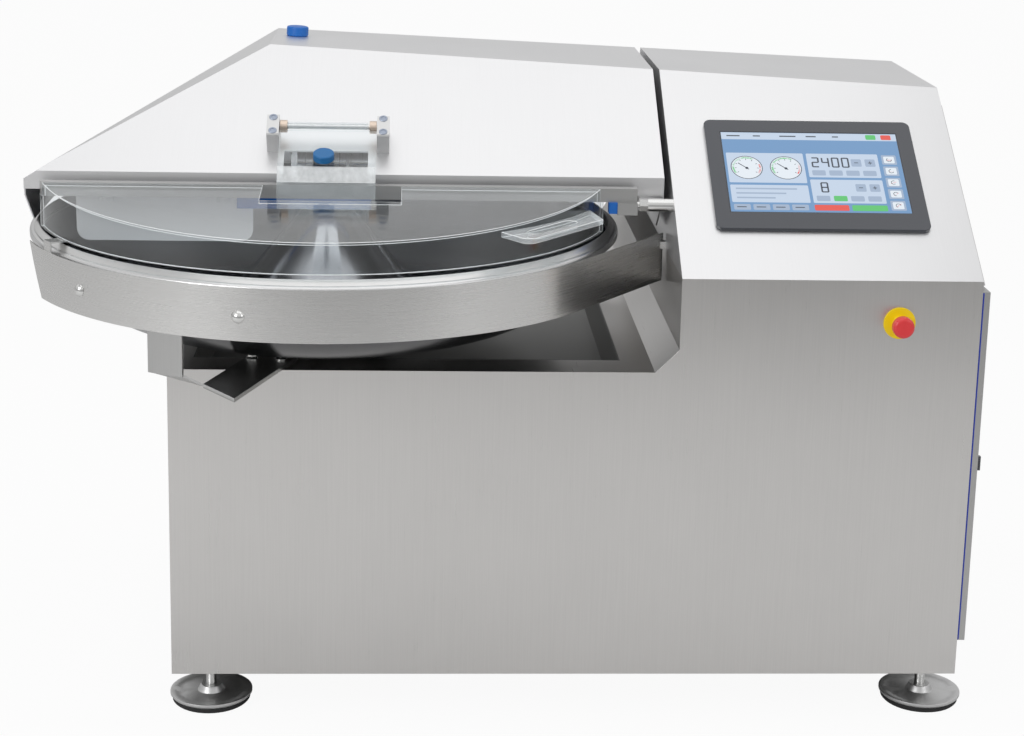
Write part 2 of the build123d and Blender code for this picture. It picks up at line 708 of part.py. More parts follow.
def guard_run_end(radius):
    """End of the guard's straight run, a small gap before the console."""
    outer_x = ring_point(guard_radius, guard_tangent_angle)[0]
    run = (console_left - guard_end_gap - outer_x) / math.cos(math.radians(guard_tangent_angle + 90))
    x, y = ring_point(radius, guard_tangent_angle)
    step_x, step_y = polar(run, guard_tangent_angle + 90)
    return (x + step_x, y + step_y)


def arc_strip(outer, inner, start, end):
    """A flat ring sector between two angles."""
    middle = (start + end) / 2
    outside = ThreePointArc(ring_point(outer, start), ring_point(outer, middle), ring_point(outer, end))
    back = ThreePointArc(ring_point(inner, end), ring_point(inner, middle), ring_point(inner, start))
    return make_face([outside, Line(outside @ 1, back @ 0), back, Line(back @ 1, outside @ 0)])


guard_bolt_angles = [(223.8, guard_top - 49.0), (257.2, guard_top - 52.0)]


def make_guard_band():
    """A rolled band, straight towards the console, slanted at its free end, with a rest for the lid and a hook."""
    inner = guard_radius - guard_sheet
    bottom = guard_top - guard_height
    band = extrude(Pos(0, 0, bottom) * arc_strip(guard_radius, inner, 196.0, 360 + guard_tangent_angle), guard_height)
    straight = [ring_point(guard_radius, guard_tangent_angle), guard_run_end(guard_radius),
                guard_run_end(inner), ring_point(inner, guard_tangent_angle)]
    band += prism_z(straight, bottom, guard_top)
    top_x, top_y = ring_point(guard_radius, guard_end_top_angle)
    low_x, low_y = ring_point(guard_radius, guard_end_bottom_angle)
    along = Vector(low_x - top_x, low_y - top_y, -guard_height)
    radial = Vector(*polar(1, (guard_end_top_angle + guard_end_bottom_angle) / 2), 0)
    normal = along.cross(radial)
    if normal.Y < 0:
        normal = normal * -1
    cutter = Plane(origin=(top_x, top_y, guard_top), z_dir=normal) * (Pos(0, 0, 150) * Box(300, 300, 300))
    band -= cutter
    end_x, end_y = guard_run_end(guard_radius)
    band += block(end_x - 12, console_left, end_y - 8, end_y + 8, guard_top - 30, guard_top - 16)
    rest_angle = 212.0
    rest = extrude(Pos(0, 0, guard_top - 40) * arc_strip(inner, inner - 3, rest_angle - 1.5, rest_angle + 1.5), 56)
    rest += extrude(Pos(0, 0, guard_top + 15.7) * arc_strip(inner, lid_radius - lid_wall, rest_angle - 1.5,
                                                            rest_angle + 1.5), 3)
    band += rest
    for degrees, z in guard_bolt_angles:
        band -= bolt_plane(degrees, z) * Cylinder(bolt_radius, 40)
    return band


def bolt_plane(degrees, z):
    x, y = ring_point(guard_radius, degrees)
    return Plane(origin=(x, y, z), x_dir=(0, 0, 1), z_dir=Vector(*polar(1, degrees), 0))


def make_bolt(plane, grip):
    """A dome head bolt with its shank and nut: the head stands on the plane, the grip is the clamped thickness."""
    head = Pos(0, 0, -6) * Sphere(13.5)
    head -= Pos(0, 0, -25) * Box(60, 60, 50)
    bolt = head + Pos(0, 0, -grip / 2) * Cylinder(bolt_radius, grip) + Pos(0, 0, -grip - 3) * Cylinder(8.5, 6)
    return plane * bolt


arm_bolt_places = [(152.0, 46.0), (205.0, 46.0)]


def make_guard_bolts():
    bolts = [make_bolt(bolt_plane(degrees, z), guard_sheet + 0.07) for degrees, z in guard_bolt_angles]
    for x, y in arm_bolt_places:
        bolts.append(make_bolt(Plane(origin=(x, y, deck_height + arm_thickness)), arm_thickness + sheet))
    return Compound(bolts)


def make_guard_bracket():
    """A curved plate behind the guard with a folded gusset that runs down to the arm."""
    face = guard_radius - guard_sheet
    start, end = bracket_angles
    plate = extrude(Pos(0, 0, bracket_bottom - bracket_sheet) * arc_strip(face, face - bracket_sheet, start, end),
                    bracket_top - bracket_bottom + bracket_sheet)
    left = ring_point(face - bracket_sheet / 2, start)
    right = ring_point(face - bracket_sheet / 2, end)
    top = deck_height + arm_thickness
    corners = [(*left, bracket_bottom), (*right, bracket_bottom), (*arm_end_right, top), (*arm_end_left, top)]
    for a, b, c in ((0, 1, 3), (1, 2, 3)):
        triangle = make_face(Polyline(corners[a], corners[b], corners[c], close=True))
        plate += extrude(triangle, bracket_sheet, dir=(0, 0, -1))
    return plate


def make_guard_arm():
    """A flat arm with an oblique end, bolted on the deck."""
    run_right = (arm_back - arm_end_right[1]) * arm_lean
    run_left = (arm_back - arm_end_left[1]) * arm_lean
    points = [arm_end_left, arm_end_right, (arm_end_right[0] + run_right, arm_back),
              (arm_end_left[0] + run_left, arm_back)]
    arm = prism_z(points, deck_height, deck_height + arm_thickness)
    for x, y in arm_bolt_places:
        arm -= rod_z(x, y, deck_height - 1, deck_height + arm_thickness + 1, bolt_radius)
    return arm


# ================= hood =================
hood_corner_z = slope_z(hood_front)
hood_left_normal = Vector(-hood_left_rise, 0, 1).normalized()
hood_back_left_normal = Vector(-204, 31, 327).normalized()


def hood_form(inset, bottom):
    """The hood's faceted form, all faces moved inwards by inset."""
    solid = block(bowl_x - 700, hood_right - inset, hood_front + inset, bowl_y + 700, bottom, top_height + 100)
    for degrees in hood_facets:
        x, y = ring_point(hood_reach - inset, degrees)
        solid = below(solid, Vector(x, y, 0), Vector(*polar(1, degrees), 0))
    solid = under_roof(solid, inset)
    corner = Vector(hood_corner_x, hood_front, hood_corner_z)
    ridge = Vector(hood_top_left, 0, top_z(hood_top_left))
    solid = below(solid, ridge - hood_left_normal * inset, hood_left_normal)
    return below(solid, corner - hood_back_left_normal * inset, hood_back_left_normal)


def make_hood_shell():
    """A folded sheet hood, open below, with a filling notch in its front lip and a slot over the knife bearing."""
    shell = hood_form(0, hood_bottom) - hood_form(hood_sheet, hood_bottom - 1)
    shell -= prism_x([(hood_front - 1, hood_bottom - 1), (hood_front - 1, hood_side_start),
                      (hood_front, hood_side_start), (hood_side_end_y, hood_bottom), (hood_side_end_y, hood_bottom - 1)],
                     bowl_x - 700, hood_right + 1)
    shell -= block(bowl_x - 700, hood_right - hood_sheet, hood_front - 1, hood_front + hood_sheet + 1,
                   hood_bottom - 1, hood_lip_bottom)
    shell -= block(notch_left, notch_right, hood_front - 1, notch_back, hood_lip_bottom - 1, slope_z(notch_back) + 5)
    shell -= block(hood_right - 2 * hood_sheet, hood_right + 1, knife_y - nose_radius - 14,
                   knife_y + nose_radius + 30, hood_bottom - 1, knife_z + nose_radius + 6)
    return shell


def make_hood_baffle():
    """A plastic baffle that hangs from the hood into the bowl on two rods."""
    plate = block(baffle_left, baffle_right, baffle_y, baffle_y + baffle_thickness, baffle_bottom, baffle_top)
    plate = fillet(plate.edges().filter_by(Axis.Y).group_by(Axis.Z)[0], 24)
    for x in (-147.0, 80.0):
        rod = rod_z(x, baffle_y + baffle_thickness / 2, baffle_top - 20, top_height + 50, 13.5)
        plate += rod & hood_form(hood_sheet, hood_bottom)
    return plate


def make_hood_scraper():
    """A plastic scraper bar beside the baffle."""
    return block(baffle_right - 30, scraper_right, baffle_y - 12, baffle_y, scraper_bottom, scraper_top)


def make_hood_shaft():
    """The hinge shaft with the arm that is welded to the hood's back."""
    back = bowl_y + hood_reach
    arm = block(hood_arm_left, hood_arm_right, back, hood_axis_y, hood_axis_z - 18, hood_axis_z + 40)
    arm += rod_x(hood_arm_left, hood_arm_right, hood_axis_y, hood_axis_z, hood_shaft_radius + 8)
    arm = arm & block(hood_arm_left - 1, hood_arm_right + 1, back, back + 100, hood_axis_z - 40, hood_axis_z + 60)
    end = console_left + sheet + hood_bearing_length + 2
    return arm + rod_x(hood_arm_left - 4, end, hood_axis_y, hood_axis_z, hood_shaft_radius)


def make_hood_bearing():
    """A bearing block for the hood's shaft inside the console."""
    end = console_left + sheet + hood_bearing_length
    body = block(console_left + sheet, end, hood_axis_y - 32, cabinet_back - sheet, hood_axis_z - 34, hood_axis_z + 34)
    return body - rod_x(console_left, end + 1, hood_axis_y, hood_axis_z, hood_shaft_radius + running_gap)


def make_flap_blocks():
    blocks = []
    for x in (block_left, block_right):
        body = slope_block(x, x + block_width, block_along, block_along + block_length, 0, block_height)
        body = chamfer(body.edges().filter_by(Axis.X).sort_by(Axis.Z)[-2:], 3)
        blocks.append(body - rod_x(x - 1, x + block_width + 1, flap_axis_y, flap_axis_z, flap_rod_radius))
    return Compound(blocks)


def make_flap_screws():
    """Two socket screw heads on top of each hinge block."""
    heads = []
    for x in (block_left, block_right):
        for along in (10.0, block_length - 10.0):
            plane = slope_plane(x + block_width / 2, block_along + along, block_height)
            head = Pos(0, 0, 2) * Cylinder(4.5, 4) - Pos(0, 0, 3.5) * extrude(RegularPolygon(2.5, 6), 3)
            heads.append(plane * head)
    return Compound(heads)


flap_left = block_left + block_width + flap_side_gap
flap_right = block_right - flap_side_gap


def make_flap_sheet():
    """The bent clear flap, curled round its rod at the top."""
    half = flap_sheet / 2
    start = Vector(flap_axis_y, flap_axis_z, 0)
    path = [start + (Vector(*flap_path[0], 0) - start).normalized() * (flap_bush_radius - 5)]
    path += [Vector(*point, 0) for point in flap_path]
    left = []
    right = []
    for i, point in enumerate(path):
        before = path[max(i - 1, 0)]
        after = path[min(i + 1, len(path) - 1)]
        if i == 0:
            before = point - (after - point)
        if i == len(path) - 1:
            after = point + (point - before)
        d0 = (point - before).normalized()
        d1 = (after - point).normalized()
        bisector = (d0 + d1).normalized()
        normal = Vector(-bisector.Y, bisector.X, 0)
        reach = half / max(bisector.dot(d1), 0.3)
        left.append(point + normal * reach)
        right.append(point - normal * reach)
    outline = [(p.X, p.Y) for p in left + right[::-1]]
    curl = ring_x(notch_left + 5, notch_right - 1, flap_axis_y, flap_axis_z, flap_bush_radius - 3, flap_rod_radius + 0.5)
    sheet_body = prism_x(outline, flap_left, flap_right)
    sheet_body -= rod_x(flap_left - 1, flap_right + 1, flap_axis_y, flap_axis_z, flap_bush_radius - 3.5)
    sheet_body -= rod_x(flap_left - 1, flap_left + flap_bush_width + 1, flap_axis_y, flap_axis_z, flap_bush_radius)
    sheet_body -= rod_x(flap_right - flap_bush_width - 1, flap_right + 1, flap_axis_y, flap_axis_z, flap_bush_radius)
    middle = block(flap_left + flap_bush_width + 1, flap_right - flap_bush_width - 1, flap_axis_y - 50,
                   flap_axis_y + 50, flap_axis_z - 50, flap_axis_z + 50)
    return sheet_body + (curl & middle)


def make_flap_bushings():
    ends = ((flap_left, flap_left + flap_bush_width), (flap_right - flap_bush_width, flap_right))
    return Compound([ring_x(x0, x1, flap_axis_y, flap_axis_z, flap_bush_radius, flap_rod_radius + running_gap)
                     for x0, x1 in ends])


def make_flap_knob():
    """A round grip on the flap's level part."""
    low = Vector(0, *flap_path[1])
    high = Vector(0, *flap_path[0])
    along = (high - low).normalized()
    normal = Vector(0, -along.Z, along.Y)
    middle = (low + high) * 0.5 + normal * (flap_sheet / 2)
    plane = Plane(origin=(bowl_x, middle.Y, middle.Z), x_dir=(1, 0, 0), z_dir=normal)
    grip = Pos(0, 0, 11) * Cylinder(20, 14)
    grip = fillet(grip.edges().sort_by(Axis.Z)[-1], 3)
    return plane * (grip + Pos(0, 0, 2) * Cylinder(10, 4))


# ================= lid =================
lid_pitch = (lid_rear_top - lid_front_top) / (lid_rear - (bowl_y - lid_radius))
lid_normal = Vector(0, -lid_pitch, 1).normalized()
lid_bar_front = lid_rear - lid_bar_depth


def lid_form(inset, bottom):
    solid = rod_z(bowl_x, bowl_y, bottom, lid_rear_top + 40, lid_radius - inset)
    return below(solid, Vector(0, lid_rear, lid_rear_top) - lid_normal * inset, lid_normal)


def bar_block():
    left = bowl_x - lid_radius
    return block(left, lid_bar_right, lid_bar_front, lid_rear, lid_bar_bottom, lid_bar_top)


def make_lid_shell():
    """A clear half-round cover: a pitched top plate and a skirt, notched at the back for the flap."""
    shell = lid_form(0, lid_bottom) - lid_form(lid_wall, lid_bottom - 1)
    shell -= block(bowl_x - 700, bowl_x + 700, lid_rear, bowl_y + 700, lid_bottom - 10, lid_rear_top + 100)
    shell -= block(bowl_x - 700, bowl_x + 700, lid_bar_front, bowl_y, lid_bar_bottom, lid_rear_top + 100)
    left, right, front = lid_notch
    return shell - block(left, right, front, lid_rear + 1, lid_bottom + 20, lid_rear_top + 20)


def make_lid_bar():
    """The steel bar along the lid's back edge with the pivot knuckle at its right end."""
    bar = bar_block() & rod_z(bowl_x, bowl_y, lid_bar_bottom - 1, lid_bar_top + 1, lid_radius)
    bar += block(bowl_x, lid_bar_right, lid_bar_front, lid_rear, lid_bar_bottom, lid_bar_top)
    bar += block(lid_bar_right - 38, lid_bar_right, lid_axis_y - 14, lid_axis_y + 16, lid_axis_z - 18, lid_bar_bottom)
    return bar - rod_x(lid_bar_right - 60, lid_bar_right + 1, lid_axis_y, lid_axis_z, lid_pin_radius + running_gap)


def make_lid_bush():
    """A plastic bush under the bar beside the knuckle."""
    right = lid_bar_right - 38
    bush = block(right - 16, right, lid_axis_y - 12, lid_axis_y + 12, lid_axis_z - 16, lid_bar_bottom)
    return bush - rod_x(right - 17, right + 1, lid_axis_y, lid_axis_z, lid_pin_radius + running_gap)


def make_lid_handle():
    """A flat loop handle on the lid's skirt."""
    plate = prism_z(handle_outline, handle_bottom, handle_bottom + handle_thickness)
    plate = fillet(plate.edges().filter_by(Axis.Z).sort_by(Axis.X)[1:3], 18)
    start = Vector(*handle_outline[1])
    along = (Vector(*handle_outline[2]) - start).normalized()
    side = Vector(-along.Y, along.X, 0)
    middle = start + along * 117 + side * 32
    turn = math.degrees(math.atan2(along.Y, along.X))
    slot = Pos(middle.X, middle.Y, handle_bottom - 1) * Rot(0, 0, turn) * extrude(SlotOverall(135, 26), 20)
    return plate - slot - rod_z(bowl_x, bowl_y, handle_bottom - 1, handle_bottom + 20, lid_radius)


def make_lid_pivot_tube():
    """A polished tube on the console's wall with a nut and the pivot pin through it."""
    tube = rod_x(lid_bar_right + 20, console_left, lid_axis_y, lid_axis_z, lid_tube_radius)
    pin = rod_x(lid_bar_right - 52, console_left + sheet + 14, lid_axis_y, lid_axis_z, lid_pin_radius)
    nut_plane = Plane(origin=(lid_bar_right + 4, lid_axis_y, lid_axis_z), x_dir=(0, 1, 0), z_dir=(1, 0, 0))
    nut = extrude(nut_plane * RegularPolygon(13, 6), 16)
    back_nut = rod_x(console_left + sheet, console_left + sheet + 8, lid_axis_y, lid_axis_z, 9)
    return tube + pin + nut + back_nut


# ================= console pieces =================
def make_screen_bezel():
    frame = slope_block(screen_left, screen_left + screen_width, screen_start, screen_start + screen_height,
                        0, screen_proud)
    frame = fillet(frame.edges().filter_by(Axis(origin=(0, 0, 0), direction=slope_normal)), 14)
    frame -= slope_block(screen_left + screen_side, screen_left + screen_width - screen_side,
                         screen_start + screen_low, screen_start + screen_height - screen_high, screen_proud - 2.5, 20)
    return frame


def make_screen_display():
    return slope_block(screen_left + screen_side, screen_left + screen_width - screen_side, screen_start + screen_low,
                       screen_start + screen_height - screen_high, screen_proud - 2.5, screen_proud - 0.7)


def make_estop_collar():
    """A round plate with a threaded neck through the front panel and a contact block behind it."""
    body = rod_y(estop_x, -3, 0, estop_z, estop_disc_radius)
    body += rod_y(estop_x, -14, -2, estop_z, 14)
    body += rod_y(estop_x, -1, 34, estop_z, estop_neck_radius)
    body += block(estop_x - 18, estop_x + 18, 20, 60, estop_z - 18, estop_z + 18)
    return body - rod_y(estop_x, -15, 40, estop_z, estop_stem_radius + running_gap)


def make_estop_button():
    head = rod_y(estop_x, -42, -24, estop_z, estop_head_radius)
    head = fillet(head.edges().sort_by(Axis.Y)[0], 7)
    return head + rod_y(estop_x, -25, 30, estop_z, estop_stem_radius)


# ================= side door =================
door_face = cabinet_width + door_thickness
hinge_x = cabinet_width + 11


def make_side_door():
    """A shallow pan with hinge knuckles on its back edge."""
    base = cabinet_width + gasket_gap + gasket_thickness
    door = block(base, door_face, door_front, door_back, door_bottom, door_top)
    door -= block(base - 1, door_face - sheet, door_front + sheet, door_back - sheet,
                  door_bottom + sheet, door_top - sheet)
    for z in hinge_places:
        door += block(hinge_x - 5, hinge_x + 6, door_back, hinge_y - 4, z + 30.3, z + 69.7)
        door += rod_z(hinge_x, hinge_y, z + 30.3, z + 69.7, hinge_radius)
        door -= rod_z(hinge_x, hinge_y, z + 30, z + 70, hinge_pin + running_gap)
    return door - rod_x(door_face - 2 * sheet, door_face + 1, door_front + 40, (door_bottom + door_top) / 2,
                        5 + running_gap)


def make_door_gasket():
    x0 = cabinet_width + gasket_gap
    width = 14.0
    seal = block(x0, x0 + gasket_thickness, door_front, door_back, door_bottom, door_top)
    return seal - block(x0 - 1, x0 + 4, door_front + width, door_back - width, door_bottom + width, door_top - width)


def make_door_hinges():
    hinges = []
    for z in hinge_places:
        pin = rod_z(hinge_x, hinge_y, z, z + 100, hinge_pin)
        for low in (z, z + 70):
            pin += rod_z(hinge_x, hinge_y, low, low + 30, hinge_radius)
            pin += block(cabinet_width, hinge_x - 4, hinge_y - 2, hinge_y + 30, low, low + 30)
        hinges.append(pin)
    return Compound(hinges)


def make_door_latch():
    """A quarter-turn grip on the door."""
    y = door_front + 40
    z = (door_bottom + door_top) / 2
    grip = rod_x(door_face + 0.3, door_face + 6, y, z, 15)
    grip += block(door_face + 5, door_face + 16, y - 4, y + 4, z - 14, z + 14)
    return grip + rod_x(door_face - 12, door_face + 1, y, z, 5) + rod_x(door_face - 12, door_face - 6, y, z, 9)


def build_parts():
    feet = foot_places()
    buffer_z = top_z(buffer_x)
    top_front_edge = (buffer_z - fold_height) / slope_rise
    top_back_edge = cabinet_back - (buffer_z - rear_edge_height) / rear_fall
    buffer_y = top_front_edge + (top_back_edge - top_front_edge) * buffer_share
    return {
        "base_cabinet": make_base_cabinet(),
        "console_housing": make_console_housing(),
        "deck_tray": make_deck_tray(),
        "deck_apron": make_deck_apron(),
        "base_frame": make_base_frame(),
        "foot_discs": Compound([make_foot_disc(x, y) for x, y in feet]),
        "foot_pads": Compound([make_foot_pad(x, y) for x, y in feet]),
        "foot_studs": Compound([make_foot_stud(x, y) for x, y in feet]),
        "side_cover_upper": make_side_cover(),
        "rear_panel": make_rear_panel(),
        "bowl": make_bowl(),
        "bowl_hub": make_bowl_hub(),
        "bowl_shaft": rod_z(bowl_x, bowl_y, bowl_mount_top - 150, hub_top - bowl_wall, bowl_shaft_radius),
        "bowl_bearing_housing": make_bowl_bearing_housing(),
        "bowl_bearings": make_bowl_bearings(),
        "bowl_gearmotor": make_bowl_gearmotor(),
        "knife_blades": make_knife_blades(),
        "knife_head": make_knife_head(),
        "knife_shaft": rod_x(first_knife - 12, pulley_end, knife_y, knife_z, knife_shaft_radius),
        "knife_pulley": make_pulley(knife_y, knife_z, knife_pulley_radius, knife_shaft_radius),
        "knife_bearing_housing": make_knife_bearing_housing(),
        "knife_bearings": make_knife_bearings(),
        "bearing_pedestal": make_bearing_pedestal(),
        "drive_belt": make_drive_belt(),
        "knife_motor": make_knife_motor(),
        "motor_pulley": make_motor_pulley(),
        "inverter_unit": make_inverter_unit(),
        "guard_band": make_guard_band(),
        "guard_bolts": make_guard_bolts(),
        "guard_bracket": make_guard_bracket(),
        "guard_arm": make_guard_arm(),
        "hood_shell": make_hood_shell(),
        "hood_baffle": make_hood_baffle(),
        "hood_scraper": make_hood_scraper(),
        "hood_shaft": make_hood_shaft(),
        "hood_bearing": make_hood_bearing(),
        "hood_buffer": Plane(origin=(buffer_x, buffer_y, buffer_z), z_dir=top_normal)
        * (Pos(0, 0, 10) * Cylinder(22.5, 20)),
        "flap_blocks": make_flap_blocks(),
        "flap_screws": make_flap_screws(),
        "flap_rod": rod_x(block_left, block_right + block_width, flap_axis_y, flap_axis_z, flap_rod_radius),
        "flap_sheet": make_flap_sheet(),
        "flap_bushings": make_flap_bushings(),
        "flap_knob": make_flap_knob(),
        "lid_shell": make_lid_shell(),
        "lid_bar": make_lid_bar(),
        "lid_bush": make_lid_bush(),
        "lid_handle": make_lid_handle(),
        "lid_pivot_tube": make_lid_pivot_tube(),
        "screen_bezel": make_screen_bezel(),
        "screen_display": make_screen_display(),
        "estop_collar": make_estop_collar(),
        "estop_button": make_estop_button(),
        "side_door": make_side_door(),
        "door_gasket": make_door_gasket(),
        "door_hinges": make_door_hinges(),
        "door_latch": make_door_latch(),
    }


# The part's origin is under the middle of the whole machine.
left_end = bowl_x - rim_radius
right_end = door_face + 16
front_end = bowl_y - guard_radius
origin_x = (left_end + right_end) / 2
origin_y = (front_end + cabinet_back) / 2

os.makedirs("parts", exist_ok=True)
for name, shape in build_parts().items():
    export_step(Pos(-origin_x, -origin_y, 0) * shape, f"parts/{name}.step")
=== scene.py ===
import math

import bmesh
import bpy
from mathutils import Matrix, Vector


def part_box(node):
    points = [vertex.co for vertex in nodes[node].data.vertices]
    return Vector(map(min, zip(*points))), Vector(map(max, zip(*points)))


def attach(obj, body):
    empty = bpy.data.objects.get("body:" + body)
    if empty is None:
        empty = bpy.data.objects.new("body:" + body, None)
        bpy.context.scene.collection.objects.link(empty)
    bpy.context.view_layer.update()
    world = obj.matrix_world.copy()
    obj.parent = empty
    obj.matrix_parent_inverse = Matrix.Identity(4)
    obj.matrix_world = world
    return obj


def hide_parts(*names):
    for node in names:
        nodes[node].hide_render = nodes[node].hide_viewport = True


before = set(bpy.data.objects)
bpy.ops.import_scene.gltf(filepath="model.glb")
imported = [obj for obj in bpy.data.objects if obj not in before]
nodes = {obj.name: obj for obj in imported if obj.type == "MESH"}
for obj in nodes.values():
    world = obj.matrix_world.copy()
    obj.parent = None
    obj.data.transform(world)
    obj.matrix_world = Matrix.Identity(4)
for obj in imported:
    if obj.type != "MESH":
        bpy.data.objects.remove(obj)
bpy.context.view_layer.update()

MM = 0.001

# ================= places taken from the frame, in metres =================
bowl_low, bowl_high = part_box("bowl")
BOWL = (bowl_low + bowl_high) / 2
RIM_START = bowl_high.x - BOWL.x - 24 * MM
HUB_ABOVE_RIM = 20 * MM
RIM_TOP = bowl_high.z - HUB_ABOVE_RIM
UP = Vector((0, 0, 1))
RIGHT = Vector((1, 0, 0))


def slope_and_display():
    """The way the sloping fronts face, and the display's lower left corner, width and height in mm.

    The display lies flat on the console's slope, and the hood's front slopes as the console's does.
    """
    display = nodes["screen_display"].data
    glass = [p for p in display.polygons if p.normal.z > 0 and p.normal.y < -0.4]
    corners = [display.vertices[i].co for p in glass for i in p.vertices]
    out = glass[0].normal.copy()
    low = min(corners, key=lambda c: (round(c.x, 4), round(c.z, 4))).copy()
    high = max(corners, key=lambda c: (round(c.x, 4), round(c.z, 4)))
    across = high - low
    return out, low, across.dot(RIGHT) / MM, across.dot(out.cross(RIGHT)) / MM


SLOPE_OUT, DISPLAY_CORNER, DISPLAY_WIDE, DISPLAY_HIGH = slope_and_display()
SLOPE_UP = SLOPE_OUT.cross(RIGHT)


# ================= materials =================
CLEAR_IOR = 1.58
CLEAR_MIRROR = 0.8      # share of the mirror that the clear sheet keeps
STREAK_SHARE = 0.6      # how much of the steel's tone comes from its streaks, the rest from soft clouds
STEEL_RELIEF = 0.02 * MM
PLASTIC_RELIEF = 0.04 * MM


def four(value):
    """A colour with its alpha, from a colour or from one shade of grey."""
    if isinstance(value, tuple):
        return (*value, 1)
    return (value, value, value, 1)


def shade(color, factor):
    return tuple(c * factor for c in color)


class Graph:
    """A material with short calls to add and join its nodes."""

    def __init__(self, name):
        self.material = bpy.data.materials.new(name)
        self.material.use_nodes = True
        self.tree = self.material.node_tree
        self.tree.nodes.clear()
        self.out = self.add("ShaderNodeOutputMaterial")
        self.shader = self.add("ShaderNodeBsdfPrincipled")
        self.join(self.shader, "BSDF", self.out, "Surface")

    def add(self, kind, **values):
        node = self.tree.nodes.new(kind)
        for key, value in values.items():
            setattr(node, key, value)
        return node

    def join(self, source, out_name, target, in_name):
        self.tree.links.new(source.outputs[out_name], target.inputs[in_name])

    def set(self, **values):
        for key, value in values.items():
            self.shader.inputs[key.replace("_", " ")].default_value = value

    def coords(self, scale):
        where = self.add("ShaderNodeTexCoord")
        mapping = self.add("ShaderNodeMapping")
        mapping.inputs["Scale"].default_value = scale
        self.join(where, "Object", mapping, "Vector")
        return mapping

    def noise(self, scale, detail=3.0, roughness=0.6, size=1.0):
        noise = self.add("ShaderNodeTexNoise")
        noise.inputs["Scale"].default_value = size
        noise.inputs["Detail"].default_value = detail
        noise.inputs["Roughness"].default_value = roughness
        self.join(self.coords(scale), "Vector", noise, "Vector")
        return noise

    def ramp(self, source, out_name, low, high, start=0.3, end=0.7):
        ramp = self.add("ShaderNodeValToRGB")
        first, last = ramp.color_ramp.elements
        first.position = start
        last.position = end
        first.color = four(low)
        last.color = four(high)
        self.join(source, out_name, ramp, "Fac")
        return ramp

    def mix(self, share, first, second):
        """A colour between two colour outputs, by the result of a map range node."""
        mix = self.add("ShaderNodeMix", data_type="RGBA")
        self.tree.links.new(share.outputs["Result"], mix.inputs[0])
        self.tree.links.new(first, mix.inputs[6])
        self.tree.links.new(second, mix.inputs[7])
        return mix.outputs[2]

    def mix_shaders(self, share, out_name, first, second):
        """A node that blends two shader outputs."""
        mix = self.add("ShaderNodeMixShader")
        self.join(share, out_name, mix, "Fac")
        self.tree.links.new(first, mix.inputs[1])
        self.tree.links.new(second, mix.inputs[2])
        return mix

    def map_range(self, source, out_name, low, high, **values):
        """A value that runs from 0 at low to 1 at high."""
        node = self.add("ShaderNodeMapRange", **values)
        node.inputs["From Min"].default_value = low
        node.inputs["From Max"].default_value = high
        self.join(source, out_name, node, "Value")
        return node

    def bump(self, source, out_name, distance, strength=1.0):
        bump = self.add("ShaderNodeBump")
        bump.inputs["Distance"].default_value = distance
        bump.inputs["Strength"].default_value = strength
        self.join(source, out_name, bump, "Height")
        self.join(bump, "Normal", self.shader, "Normal")


def steel(name, base, rough, grain, contrast=0.05, anisotropic=0.0, turn=0.0, cloud=0.03):
    """Ground stainless steel: fine streaks along the grain and soft clouds of roughness."""
    graph = Graph(name)
    graph.set(Metallic=1.0, Anisotropic=anisotropic, Anisotropic_Rotation=turn)
    if anisotropic > 0:
        tangent = graph.add("ShaderNodeTangent", direction_type="RADIAL", axis="Z")
        graph.join(tangent, "Tangent", graph.shader, "Tangent")
    streaks = graph.noise(grain, detail=2.0, roughness=0.7)
    clouds = graph.noise((5, 5, 5), detail=2.0)
    mix = graph.add("ShaderNodeMath", operation="MULTIPLY_ADD")
    mix.inputs[1].default_value = STREAK_SHARE
    graph.join(streaks, "Fac", mix, 0)
    soft = graph.add("ShaderNodeMath", operation="MULTIPLY")
    soft.inputs[1].default_value = 1 - STREAK_SHARE
    graph.join(clouds, "Fac", soft, 0)
    graph.join(soft, "Value", mix, 2)
    high = tuple(min(c, 1.0) for c in shade(base, 1 + contrast))
    tone = graph.ramp(mix, "Value", shade(base, 1 - contrast), high)
    graph.join(tone, "Color", graph.shader, "Base Color")
    gloss = graph.ramp(mix, "Value", rough - cloud, rough + cloud)
    graph.join(gloss, "Color", graph.shader, "Roughness")
    graph.bump(streaks, "Fac", STEEL_RELIEF, 0.35)
    return graph.material


